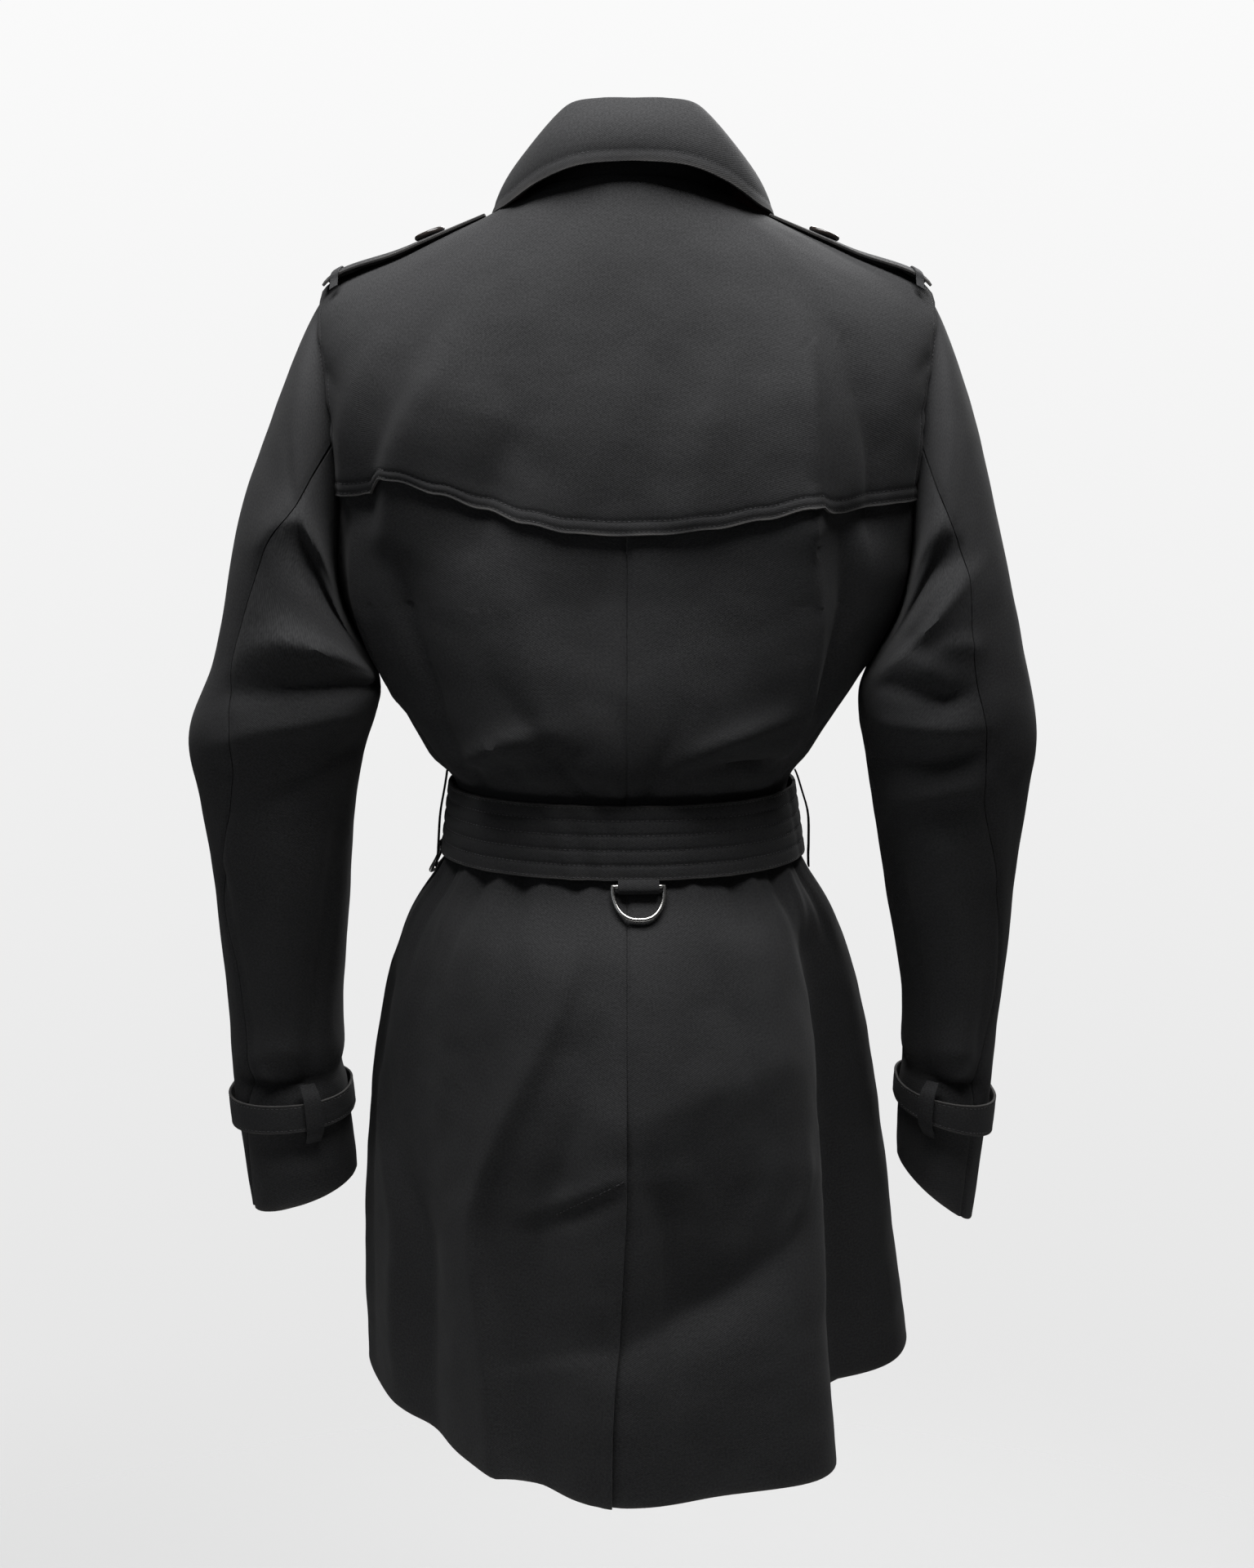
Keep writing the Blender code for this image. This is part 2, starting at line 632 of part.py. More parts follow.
def build_sleeves():
    for side in ("left", "right"):
        for piece, columns in (("upper", 12), ("under", 8)):

            def place(column, row, out, side=side, piece=piece, columns=columns):
                ring = ARM_PLACES[row]
                gap = 0.3 + 0.8 * max(0.0, 1 - ring / 1.8)
                if piece == "upper":
                    start, end = FRONT_SEAM + gap, sleeve_seam(ring) - gap
                else:
                    start, end = sleeve_seam(ring) + gap, FRONT_SEAM + 360 - gap
                return sleeve_point(side, start + (end - start) * column / columns, ring, out)

            cloth_wall(f"sleeve_{piece}_{side}", columns, len(ARM_PLACES) - 1, place)


STRAP_HIGH, STRAP_LOW = 9.47, 9.90
STRAP_LIFT, STRAP_TAIL_LIFT = 0.0042, 0.0066
STRAP_START, STRAP_END = -115.0, 262.0


def strap_lift(angle):
    """The cuff strap's outer face over the sleeve: it sags off the back and its tail laps its start."""
    sag = 0.003 * max(0.0, math.sin(math.radians(angle)))
    tail = smooth((angle - (STRAP_START + 352)) / 12)
    return STRAP_LIFT + sag + (STRAP_TAIL_LIFT - STRAP_LIFT) * tail


def cuff_point(side, angle, place, out):
    """A point over the sleeve's smooth form near the cuff, clear of its folds."""
    return sleeve_point(side, angle, place, out - arm_fold_depth(side, angle, place))


def build_cuffs():
    columns = 28
    for side in ("left", "right"):

        def strap(column, row, out, side=side):
            angle = STRAP_START + (STRAP_END - STRAP_START) * column / columns
            place = STRAP_HIGH + (STRAP_LOW - STRAP_HIGH) * row
            return cuff_point(side, angle, place, out + strap_lift(angle))

        def loop(column, row, out, side=side):
            half = 0.00575
            turn = math.degrees(half / 0.047)
            angle = 116 + turn * (2 * column - 1)
            place = 9.20 + (10.12 - 9.20) * row / 6
            rise = (0.0024, 0.0082, 0.0100, 0.0102, 0.0100, 0.0082, 0.0024)[row]
            return cuff_point(side, angle, place, out + rise)

        cloth_wall(f"cuff_strap_{side}", columns, 1, strap, STRAP_CLOTH)
        cloth_wall(f"cuff_loop_{side}", 1, 6, loop, 0.0012)


# ---------------------------------------------------------------- belt


BELT_START, BELT_END = -172.0, 238.0


def belt_lift(angle):
    return BELT_LIFT + (BELT_TAIL_LIFT - BELT_LIFT) * smooth((angle - 165) / 20)


def belt_point(angle, up, out):
    """A point over the belt's line, without the body's folds. up runs from its lower edge."""
    low = smooth_point(angle, level_at(BELT_LOW))
    high = smooth_point(angle, level_at(BELT_TOP))
    point = low + (high - low) * up
    normal = outward(smooth_point, angle, level_at(-0.44), 0.5, 0.02)
    normal.z = 0
    return point + normal.normalized() * out


def build_belt():
    columns = 44

    def place(column, row, out):
        angle = BELT_START + (BELT_END - BELT_START) * column / columns
        return belt_point(angle, row, out + belt_lift(angle))

    cloth_wall("belt", columns, 1, place, BELT_CLOTH)


LoopRow = namedtuple("LoopRow", "up lift bow")
# up is counted from the belt's lower edge to its upper edge, and past both.
BELT_LOOP = (
    LoopRow(1.13, 0.0090, -0.35),
    LoopRow(1.03, 0.0082, 0.1),
    LoopRow(0.85, 0.0078, 0.5),
    LoopRow(0.50, 0.0078, 1.0),
    LoopRow(0.10, 0.0078, 0.5),
    LoopRow(-0.10, 0.0080, 0.1),
    LoopRow(-0.28, 0.0090, -0.35),
)


def build_belt_loops():
    for side, sign, bow in (("left", 1, 0.0020), ("right", -1, 0.0046)):

        def place(column, row, out, sign=sign, bow=bow):
            step = BELT_LOOP[row]
            angle = sign * (90 + 2.1 * (2 * column - 1))
            return belt_point(angle, step.up, out + step.lift + step.bow * bow)

        cloth_wall(f"belt_loop_{side}", 1, len(BELT_LOOP) - 1, place, 0.0013)


HangerRow = namedtuple("HangerRow", "height lift")
# The short fabric loop that carries a D-ring: up behind the belt, round the ring's bar and back up.
HANGER = (
    HangerRow(-0.4460, 0.0022),
    HangerRow(-0.4560, 0.0022),
    HangerRow(-0.4640, 0.0022),
    HangerRow(-0.4700, 0.0020),
    HangerRow(-0.4728, 0.0030),
    HangerRow(-0.4736, 0.0050),
    HangerRow(-0.4722, 0.0072),
    HangerRow(-0.4690, 0.0080),
    HangerRow(-0.4656, 0.0076),
)
BAR_HEIGHT, BAR_LIFT = -0.4696, 0.0047
RING_HALF_WIDTH, RING_DROP, WIRE = 0.0158, 0.0205, 0.0016


def build_d_rings():
    """A D-ring at the centre back and one at the wearer's left, each in its own fabric loop."""
    for name, middle in (("back", -3.5), ("side", 104.0)):
        width = 0.118
        half_turn = math.degrees(0.0125 / width)

        def hanger_surface(across, along, middle=middle, half_turn=half_turn):
            height, lift = through(HANGER, along)
            angle = middle + half_turn * (2 * across - 1)
            point = smooth_point(angle, level_at(height))
            normal = outward(smooth_point, angle, level_at(height), 0.5, 0.02)
            return point + normal * lift

        def place(column, row, out, surface=hanger_surface):
            across, along = column / 2, row
            normal = outward(surface, across, along, 0.05, 0.05)
            return surface(across, along) - normal * out

        cloth_wall(f"d_ring_loop_{name}", 2, len(HANGER) - 1, place, 0.0009)
        turn = math.degrees(RING_HALF_WIDTH / width)
        arc = [(math.cos(math.pi * step / 12), math.sin(math.pi * step / 12)) for step in range(13)]
        points = []
        for across, down in arc:
            height = BAR_HEIGHT - RING_DROP * down
            level = level_at(height)
            lift = BAR_LIFT - 0.0014 * down
            normal = outward(smooth_point, middle + turn * across, level, 0.5, 0.02)
            points.append(smooth_point(middle + turn * across, level) + normal * lift)
        wire_loop(f"d_ring_{name}", points, WIRE, "steel")


# ---------------------------------------------------------------- epaulettes

EPAULETTE_LOW, EPAULETTE_HIGH = 13.0, 14.62
EPAULETTE_HALF, EPAULETTE_TIP_HALF = 0.0275, 0.0200


def epaulette_surface(sign, along, across):
    """along runs from the armhole to the neck end and across from -1 (front) to 1 (back)."""
    level = EPAULETTE_LOW + (EPAULETTE_HIGH - EPAULETTE_LOW) * along
    ridge = smooth_point(sign * 90, level)
    half = EPAULETTE_HALF + (EPAULETTE_TIP_HALF - EPAULETTE_HALF) * along
    lift = 0.0078 - 0.0020 * along
    droop = 0.0040 - 0.0014 * along
    tilt = 0.0052 * max(0.0, along - 0.5)
    return ridge + Vector((0, half * across, lift - droop * across * across + tilt * across))


def build_epaulettes():
    columns, rows = 4, 8
    for side, sign in (("left", 1), ("right", -1)):

        def strap(column, row, out, sign=sign):
            return epaulette_surface(sign, row / rows, 2 * column / columns - 1) + Vector((0, 0, out))

        cloth_wall(f"epaulette_{side}", columns, rows, strap, 0.0020)
        seat = epaulette_surface(sign, 0.74, 0.0)
        slope = epaulette_surface(sign, 0.80, 0.0) - epaulette_surface(sign, 0.68, 0.0)
        normal = slope.cross(Vector((0, sign, 0))).normalized()
        if normal.z < 0:
            normal.negate()
        button(f"epaulette_button_{side}", seat + normal * 0.0005, normal, SHOULDER_BUTTON_RADIUS)

        keeper = ((-1.34, 0.0088), (-1.16, 0.0040), (-1.05, -0.0012), (-0.5, -0.0015), (0.0, -0.0017))
        keeper += tuple((-across, fall) for across, fall in reversed(keeper[:-1]))

        def keeper_strip(column, row, out, sign=sign, keeper=keeper):
            across, fall = keeper[row]
            along = 0.10 + 0.07 * column
            held = max(-1.0, min(1.0, across))
            point = epaulette_surface(sign, along, held)
            point.y += (across - held) * EPAULETTE_HALF
            return point + Vector((0, 0, out - fall))

        cloth_wall(f"epaulette_keeper_{side}", 1, len(keeper) - 1, keeper_strip, 0.0010)


# ---------------------------------------------------------------- closure

ButtonRow = namedtuple("ButtonRow", "height lift_a lift_b")
# The lifts seat each button on the cloth under its rim, which isn't quite flat.
BUTTON_ROWS = (
    ButtonRow(-0.300, -0.0001, -0.0006),
    ButtonRow(-0.372, -0.0002, -0.0001),
    ButtonRow(-0.530, -0.0008, -0.0010),
    ButtonRow(-0.610, 0.0003, 0.0002),
)
BUTTON_OFFSET = 0.062


def front_normal(sign, angle, level):
    return (front_point(sign, angle, level, 0.001) - front_point(sign, angle, level, 0)).normalized()


def build_buttons():
    """Two columns on the upper front, each button upright on its own patch of cloth."""
    for column, way in (("a", -1), ("b", 1)):
        for number, row in enumerate(BUTTON_ROWS, 1):
            level = level_at(row.height)
            lift = row.lift_a if way < 0 else row.lift_b
            angle = 180 + way * math.degrees(math.asin(BUTTON_OFFSET / ring_at(level).left))
            normal = front_normal(-1, angle, level)
            centre = front_point(-1, angle, level, lift)
            button(f"button_{column}{number}", centre, normal, BUTTON_RADIUS)


def frame_buckle(name, middle, across, up, width, height, bar, depth):
    """A four-sided frame lying against a band, open in the middle."""
    out_way = across.cross(up)
    columns = (-width / 2, bar - width / 2, width / 2 - bar, width / 2)
    rows = (-height / 2, bar - height / 2, height / 2 - bar, height / 2)

    def place(column, row, out):
        return middle + across * columns[column] + up * rows[row] + out_way * (out + depth / 2)

    def is_well(column, row):
        return column == 1 and row == 1

    cloth_wall(name, 3, 3, place, depth, "dark_buckle", is_well)


def build_buckles():
    """The belt's frame buckle at the centre front and a small one on each cuff strap, all hidden behind."""
    depth = 0.0034
    angle = 190.0
    here = belt_point(angle, 0.5, belt_lift(angle) + LOOSE + depth / 2 - 0.0001)
    across = (belt_point(angle + 3, 0.5, 0) - belt_point(angle - 3, 0.5, 0)).normalized()
    up = (belt_point(angle, 1, 0) - belt_point(angle, 0, 0)).normalized()
    frame_buckle("belt_buckle", here, across, up, 0.046, 0.064, 0.0065, depth)
    for side, sink in (("left", 0.0008), ("right", 0.0011)):
        angle = -101.0
        place = (STRAP_HIGH + STRAP_LOW) / 2
        lift = strap_lift(angle + 360) + LOOSE + 0.0013
        here = cuff_point(side, angle, place, lift - sink)
        across = (cuff_point(side, angle + 4, place, 0) - cuff_point(side, angle - 4, place, 0)).normalized()
        up = (cuff_point(side, angle, STRAP_HIGH, 0) - cuff_point(side, angle, STRAP_LOW, 0)).normalized()
        frame_buckle(f"cuff_buckle_{side}", here, across, up, 0.020, 0.030, 0.0035, 0.0024)


# ---------------------------------------------------------------- the coat


def make_material(name, look):
    material = bpy.data.materials.new(name)
    material.use_nodes = True
    shader = material.node_tree.nodes["Principled BSDF"]
    shader.inputs["Base Color"].default_value = (*look.colour, 1)
    shader.inputs["Metallic"].default_value = look.metallic
    shader.inputs["Roughness"].default_value = look.roughness
    return material


for old in list(bpy.data.objects):
    bpy.data.objects.remove(old)
MATERIALS = {name: make_material(name, look) for name, look in LOOKS.items()}
build_backs()
build_fronts()
build_lapels()
build_storm_flap()
build_collar()
build_sleeves()
build_cuffs()
build_belt()
build_belt_loops()
build_d_rings()
build_epaulettes()
build_buttons()
build_buckles()
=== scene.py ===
"""Dress a packed trench coat: each cut piece as fine cloth with its folds, seams and stitching.

Lengths are metres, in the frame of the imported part: the origin is the middle of the neck opening, +Z is
up, the front faces -Y and +X is the wearer's left. An angle runs round the body in degrees from the
centre back, positive towards the wearer's left. A level is a place in the table of body rings, counted
from the hem.
"""

import math
from collections import namedtuple
from functools import lru_cache, partial

import bmesh
import bpy
from mathutils import Matrix, Vector, noise


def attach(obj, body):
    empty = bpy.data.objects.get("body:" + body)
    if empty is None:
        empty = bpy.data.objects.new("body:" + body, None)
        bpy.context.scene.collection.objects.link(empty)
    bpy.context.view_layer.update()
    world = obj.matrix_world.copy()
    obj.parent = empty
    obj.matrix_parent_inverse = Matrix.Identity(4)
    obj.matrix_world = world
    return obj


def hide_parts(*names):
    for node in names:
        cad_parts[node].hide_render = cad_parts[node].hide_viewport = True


bl_info = {
    "name": "Trench Coat",
    "version": (1, 0, 0),
    "blender": (4, 5, 0),
    "location": "3D View > Sidebar > Coat",
    "description": "Builds the cloth, stitching and trimmings of a belted trench coat",
    "category": "Object",
}

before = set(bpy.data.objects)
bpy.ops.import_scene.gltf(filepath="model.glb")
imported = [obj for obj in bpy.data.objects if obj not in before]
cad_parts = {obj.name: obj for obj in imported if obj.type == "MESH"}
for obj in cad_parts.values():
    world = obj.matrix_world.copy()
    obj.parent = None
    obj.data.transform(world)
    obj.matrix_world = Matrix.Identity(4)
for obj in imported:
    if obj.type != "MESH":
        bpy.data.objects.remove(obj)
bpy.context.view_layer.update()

# ---------------------------------------------------------------- sizes of the cut

# The common wall, and the gap at a seam
CLOTH, SEAM = 0.0016, 0.0003
# The fronts: how far they lap past the centre, where the lapels break, and half the step between them
FRONT_LAP, BREAK_HEIGHT, LAP_LIFT = 0.080, -0.270, 0.0019
# The vent: its top, its underlap and how many degrees its upper layer swings open at the hem
VENT_TOP, UNDERLAP, VENT_SWING = -0.652, 0.050, 2.8
BELT_TOP, BELT_LOW = -0.4136, -0.4640
# How far the outer face of each layer stands off the body's surface
FLAP_SEAM_LIFT, FLAP_EDGE_LIFT = 0.0028, 0.0048
BELT_LIFT, BELT_TAIL_LIFT = 0.0058, 0.0094
LAPEL_LIFTS = {"left": 0.0020, "right": 0.0026}

Ring = namedtuple(
    "Ring",
    "side_z back_z front_z left right middle back front square_left square_right square_front",
)
# One row for each level, hem first. left and right are half widths, and middle, back and front are
# places along Y. A squareness of 2 is an ellipse, less is pointed and more is boxy.
RINGS = (
    Ring(-0.876, -0.880, -0.880, 0.2010, 0.2220, -0.070, 0.184, -0.205, 1.52, 1.90, 2.0),
    Ring(-0.800, -0.800, -0.800, 0.2010, 0.2100, -0.058, 0.179, -0.198, 1.50, 1.90, 2.0),
    Ring(-0.700, -0.700, -0.700, 0.1965, 0.1955, -0.046, 0.170, -0.187, 1.55, 1.90, 2.0),
    Ring(-0.600, -0.600, -0.600, 0.1830, 0.1770, -0.033, 0.156, -0.172, 1.75, 1.95, 2.0),
    Ring(-0.520, -0.520, -0.520, 0.1620, 0.1540, -0.018, 0.136, -0.150, 2.00, 2.00, 2.1),
    Ring(-0.475, -0.475, -0.475, 0.1340, 0.1280, -0.008, 0.109, -0.121, 2.10, 2.10, 2.1),
    Ring(-0.445, -0.445, -0.445, 0.1220, 0.1150, -0.005, 0.099, -0.109, 2.20, 2.20, 2.2),
    Ring(-0.412, -0.412, -0.412, 0.1225, 0.1150, -0.005, 0.1005, -0.110, 2.20, 2.20, 2.2),
    Ring(-0.388, -0.388, -0.388, 0.1430, 0.1310, -0.008, 0.118, -0.128, 2.20, 2.20, 2.2),
    Ring(-0.340, -0.340, -0.340, 0.1710, 0.1625, -0.012, 0.124, -0.146, 2.30, 2.30, 2.3),
    Ring(-0.280, -0.280, -0.280, 0.2000, 0.1930, -0.010, 0.119, -0.150, 2.50, 2.50, 2.5),
    Ring(-0.200, -0.215, -0.215, 0.2060, 0.2060, -0.006, 0.118, -0.146, 2.60, 2.60, 2.5),
    Ring(-0.125, -0.165, -0.165, 0.2120, 0.2120, -0.002, 0.115, -0.132, 2.60, 2.60, 2.4),
    Ring(-0.0725, -0.117, -0.122, 0.2070, 0.2070, 0.000, 0.107, -0.115, 2.20, 2.20, 2.2),
    Ring(-0.0480, -0.062, -0.083, 0.1500, 0.1500, 0.000, 0.091, -0.090, 2.10, 2.10, 2.1),
    Ring(-0.0170, 0.000, -0.045, 0.0720, 0.0720, 0.000, 0.065, -0.064, 2.00, 2.00, 2.0),
)
ARMPIT, SHOULDER, NECK = 10, 13, 15
RIDGE_POWER = 1.2
ARMHOLE_REACH = 27.0
SIDE_SWING = 0.050
SWING_TOP, SWING_DROP, SWING_START = -0.500, 0.38, 50

Fold = namedtuple("Fold", "high_angle high_z low_angle low_z half_width high_depth low_depth")
# The long folds. half_width is in degrees, depths in metres, below 0 for a trough.
BODY_FOLDS = (
    Fold(35, -0.330, 32, -0.405, 12, 0.002, 0.005),
    Fold(-28, -0.330, -34, -0.405, 12, 0.002, 0.005),
    Fold(10, -0.480, 20, -0.950, 8, -0.003, -0.008),
    Fold(60, -0.480, 52, -0.950, 9, -0.003, -0.006),
    Fold(-36, -0.480, -36, -0.950, 9, 0.003, 0.014),
    Fold(-62, -0.480, -57, -0.950, 11, -0.010, -0.066),
    Fold(-17, -0.480, -16, -0.950, 8, -0.002, -0.006),
    Fold(118, -0.480, 122, -0.950, 9, -0.004, -0.012),
    Fold(-120, -0.480, -124, -0.950, 9, -0.004, -0.012),
    Fold(146, -0.480, 140, -0.950, 9, 0.003, 0.008),
    Fold(-142, -0.480, -146, -0.950, 9, 0.003, 0.008),
    Fold(122, -0.200, 128, -0.400, 9, -0.003, -0.007),
    Fold(-124, -0.200, -128, -0.400, 9, -0.003, -0.007),
)
FOLD_FADE = 0.045

Crease = namedtuple("Crease", "width other points")


def read_creases(per_metre, *rows):
    """Creases from rows (width, other, point, ...), with widths and depths in millimetres."""
    return [
        Crease(width / 1000, other / 1000, [(a, b / per_metre, depth / 1000) for a, b, depth in points])
        for width, other, *points in rows
    ]


# A crease runs along its points, each an (a, b, depth): a is an angle and b a height. Its flank is width
# wide on the side of the greater angles, where it runs down, and other wide on the other side.
BODY_CREASES = read_creases(
    1000,
    # the storm flap
    (14, 12, (46, -100, 1), (53, -157, 5), (57, -210, 6)),
    (12, 12, (36, -100, -1), (44, -165, -5), (51, -215, -6)),
    (12, 18, (35, -70, 1), (33, -115, 5), (36, -145, 8), (43, -190, 9), (46, -235, 7)),
    (18, 22, (24, -110, -1), (20, -156, -6), (24, -200, -9), (27, -240, -6)),
    (20, 6.5, (-36, -78, 1), (-33, -110, 5), (-32, -154, 8), (-34, -225, 9)),
    (10, 16, (-40, -90, -2), (-42, -140, -8), (-45, -180, -10), (-48, -225, -9)),
    (18, 18, (-9, -110, -1), (-6, -160, -3), (-3, -220, -3)),
    (18, 18, (-18, -110, 1), (-14, -160, 3), (-11, -220, 3)),
    (6, 6, (63, -128, -2), (58, -136, -0.5)),
    (6, 6, (63, -160, -2), (58, -170, -0.5)),
    (6, 6, (-63, -120, -2), (-57, -132, -0.5)),
    (6, 6, (-63, -150, -2), (-57, -160, -0.5)),
    # the back under the flap
    (14, 8, (56, -222, 2), (57, -250, 6), (59, -290, 8), (65, -345, 6)),
    (10, 18, (46, -222, -1), (45, -246, -5), (44, -275, -10), (48, -330, -11), (53, -385, -5)),
    (20, 20, (24, -235, 2), (22, -267, 3), (19, -362, 3)),
    (18, 18, (4, -250, -2), (8, -340, -2)),
    (24, 9, (-33, -222, 5), (-35, -255, 8), (-41, -312, 9), (-48, -355, 8), (-54, -392, 3)),
    (10, 15, (-41, -226, -5), (-43, -257, -8), (-49, -312, -9), (-57, -355, -6)),
    (12, 12, (-66, -262, 3), (-72, -320, 3)),
    # the cloth that puffs out over the belt
    (9, 7, (58, -396, 1), (45, -385, 6), (30, -369, 6), (19, -359, 2)),
    (7, 7, (50, -399, -4), (34, -391, -5), (20, -384, -3), (10, -376, -1)),
    (10, 9, (-12, -385, 1), (-26, -367, 6), (-37, -357, 5), (-46, -352, 1)),
    (7, 7, (-16, -392, -2), (-32, -386, -6), (-46, -388, -6), (-58, -394, -3)),
    (7, 7, (14, -404, -3), (20, -372, -2), (27, -335, -0.5)),
    (8, 8, (2, -404, 2), (5, -350, 1)),
    (7, 7, (-7, -404, -3), (-14, -345, -0.5)),
    (7, 7, (-66, -400, -3), (-70, -345, -1)),
    (7, 7, (68, -400, -3), (75, -345, -1)),
    # the skirt's back
    (26, 6, (12, -500, 1), (15, -545, 4), (22, -595, 6), (32, -671, 9), (34, -714, 10), (31, -787, 10),
     (28, -880, 9)),
    (12, 18, (6, -540, -1), (10, -611, -3), (20, -700, -6), (22, -800, -5), (20, -880, -3)),
    (17, 17, (74, -620, -2), (67, -678, -4), (54, -730, -5), (54, -793, -5), (53, -870, -3)),
    (14, 12, (80, -640, 2), (66, -730, 5), (67, -800, 5), (66, -870, 2)),
    (12, 12, (80, -560, -3), (83, -700, -4), (80, -860, -2)),
    (7, 16, (-5, -658, -1), (-8, -690, -7), (-9, -750, -6), (-8, -830, -1)),
    (40, 35, (0, -620, 4), (-20, -600, 7), (-34, -590, 4)),
    (20, 42, (2, -772, -7), (-12, -754, -12), (-25, -735, -12), (-38, -698, -7), (-45, -670, -2)),
    (6, 8, (-41, -640, 1), (-40, -677, 4), (-34, -707, 3), (-36, -745, 1)),
    (14, 8, (-52, -500, 2), (-55, -580, 4), (-50, -680, 4), (-42, -760, 2)),
    (12, 12, (-20, -500, -1), (-26, -560, -3), (-30, -640, -3), (-24, -690, -1)),
    (5, 5, (22, -688, 1), (11, -671, 3), (1, -654, 2)),
    (6, 6, (22, -700, -1), (12, -685, -3), (3, -668, -2)),
    # the sides and the fronts
    (14, 14, (96, -560, 2), (108, -800, 6)),
    (14, 14, (-104, -540, 2), (-114, -760, 6)),
    (18, 18, (160, -560, -1), (156, -800, -4)),
    (18, 18, (-160, -520, -1), (-158, -700, -3)),
    (10, 10, (104, -300, -3), (122, -350, -5), (130, -390, -3)),
    (10, 10, (-104, -300, -3), (-122, -350, -5), (-130, -390, -3)),
    (9, 9, (138, -345, -1), (148, -398, -4)),
    (9, 9, (-138, -345, -1), (-148, -398, -4)),
    (10, 8, (100, -392, 1), (116, -378, 5), (134, -368, 3)),
    (10, 8, (-100, -392, 1), (-116, -378, 5), (-134, -368, 3)),
    (14, 14, (118, -140, -1), (124, -200, -4), (120, -260, -3)),
    (14, 14, (-118, -140, -1), (-124, -200, -4), (-120, -260, -3)),
)
Gather = namedtuple("Gather", "angle depth low_z lean")
# Little pleats that the belt draws into the skirt, each leaning by a few degrees
GATHERS = [
    Gather(angle, depth / 1000, low_z / 1000, lean)
    for angle, depth, low_z, lean in (
        (-92, -3, -560, -3), (-79, 2.4, -540, -2), (-70, -3.2, -575, -3), (-60, 2.6, -545, -2),
        (-51, -3.4, -560, -2), (-41, 2.4, -530, -1), (-33, -2.2, -545, -2), (-20, 1.4, -520, -1),
        (14, -1.6, -530, 1), (24, 2.2, -540, 2), (31, -3.2, -570, 2), (39, 2.8, -550, 2), (46, -3.4, -560, 3),
        (55, 2.6, -540, 2), (64, -3, -575, 3), (75, 2.4, -550, 2), (86, -3, -560, 3), (104, -3, -565, 2),
        (117, 2.4, -545, 2), (131, -3, -570, 2), (-106, 2.4, -545, -2), (-119, -3, -570, -2),
        (-134, 2.2, -540, -2), (-149, -2.4, -560, -1), (150, 2, -545, 1),
    )
]
GATHER_WIDTH = 0.0062
GATHER_LOW, GATHER_START, GATHER_HIGH = -0.60, -0.466, -0.345
UNDER_BELT, OVER_BELT = -0.440, -0.404
# How firmly the belt holds the cloth, and between which heights
BELT_GRIP, GRIP_LOW, GRIP_HIGH, GRIP_FADE = 0.85, -0.474, -0.403, 0.009
BODY_SCALE = (0.0026, 1.0)

ArmRing = namedtuple("ArmRing", "outer_x outer_z inner_x inner_z middle half_depth")
SLEEVES = {
    "left": (
        ArmRing(0.224, -0.106, 0.1960, -0.2925, 0.006, 0.068),
        ArmRing(0.246, -0.165, 0.1890, -0.3045, 0.018, 0.066),
        ArmRing(0.266, -0.225, 0.1800, -0.321, 0.028, 0.063),
        ArmRing(0.284, -0.315, 0.1715, -0.347, 0.030, 0.061),
        ArmRing(0.306, -0.374, 0.184, -0.385, 0.024, 0.059),
        ArmRing(0.302, -0.425, 0.194, -0.430, 0.012, 0.057),
        ArmRing(0.296, -0.490, 0.200, -0.495, 0.000, 0.055),
        ArmRing(0.292, -0.555, 0.207, -0.560, -0.010, 0.053),
        ArmRing(0.290, -0.620, 0.209, -0.620, -0.018, 0.052),
        ArmRing(0.287, -0.675, 0.206, -0.668, -0.024, 0.052),
        ArmRing(0.280, -0.736, 0.203, -0.714, -0.028, 0.053),
    ),
    "right": (
        ArmRing(0.222, -0.106, 0.1890, -0.2925, 0.006, 0.068),
        ArmRing(0.239, -0.160, 0.1820, -0.3045, 0.016, 0.068),
        ArmRing(0.254, -0.225, 0.1725, -0.322, 0.027, 0.064),
        ArmRing(0.271, -0.300, 0.1610, -0.350, 0.030, 0.061),
        ArmRing(0.286, -0.370, 0.167, -0.385, 0.024, 0.059),
        ArmRing(0.284, -0.420, 0.176, -0.432, 0.012, 0.057),
        ArmRing(0.278, -0.490, 0.187, -0.495, 0.000, 0.055),
        ArmRing(0.274, -0.555, 0.200, -0.560, -0.010, 0.053),
        ArmRing(0.269, -0.620, 0.203, -0.618, -0.018, 0.052),
        ArmRing(0.265, -0.680, 0.202, -0.660, -0.024, 0.052),
        ArmRing(0.258, -0.745, 0.203, -0.704, -0.028, 0.053),
    ),
}
ARM_SQUARE = 2.2
BACK_SEAMS = {
    "left": (90, 88, 78, 62, 47, 67, 60, 36, 50, 56, 42, 26),
    "right": (90, 90, 82, 70, 72, 72, 72, 50, 42, 56, 60, 60),
}
FRONT_SEAM = -126
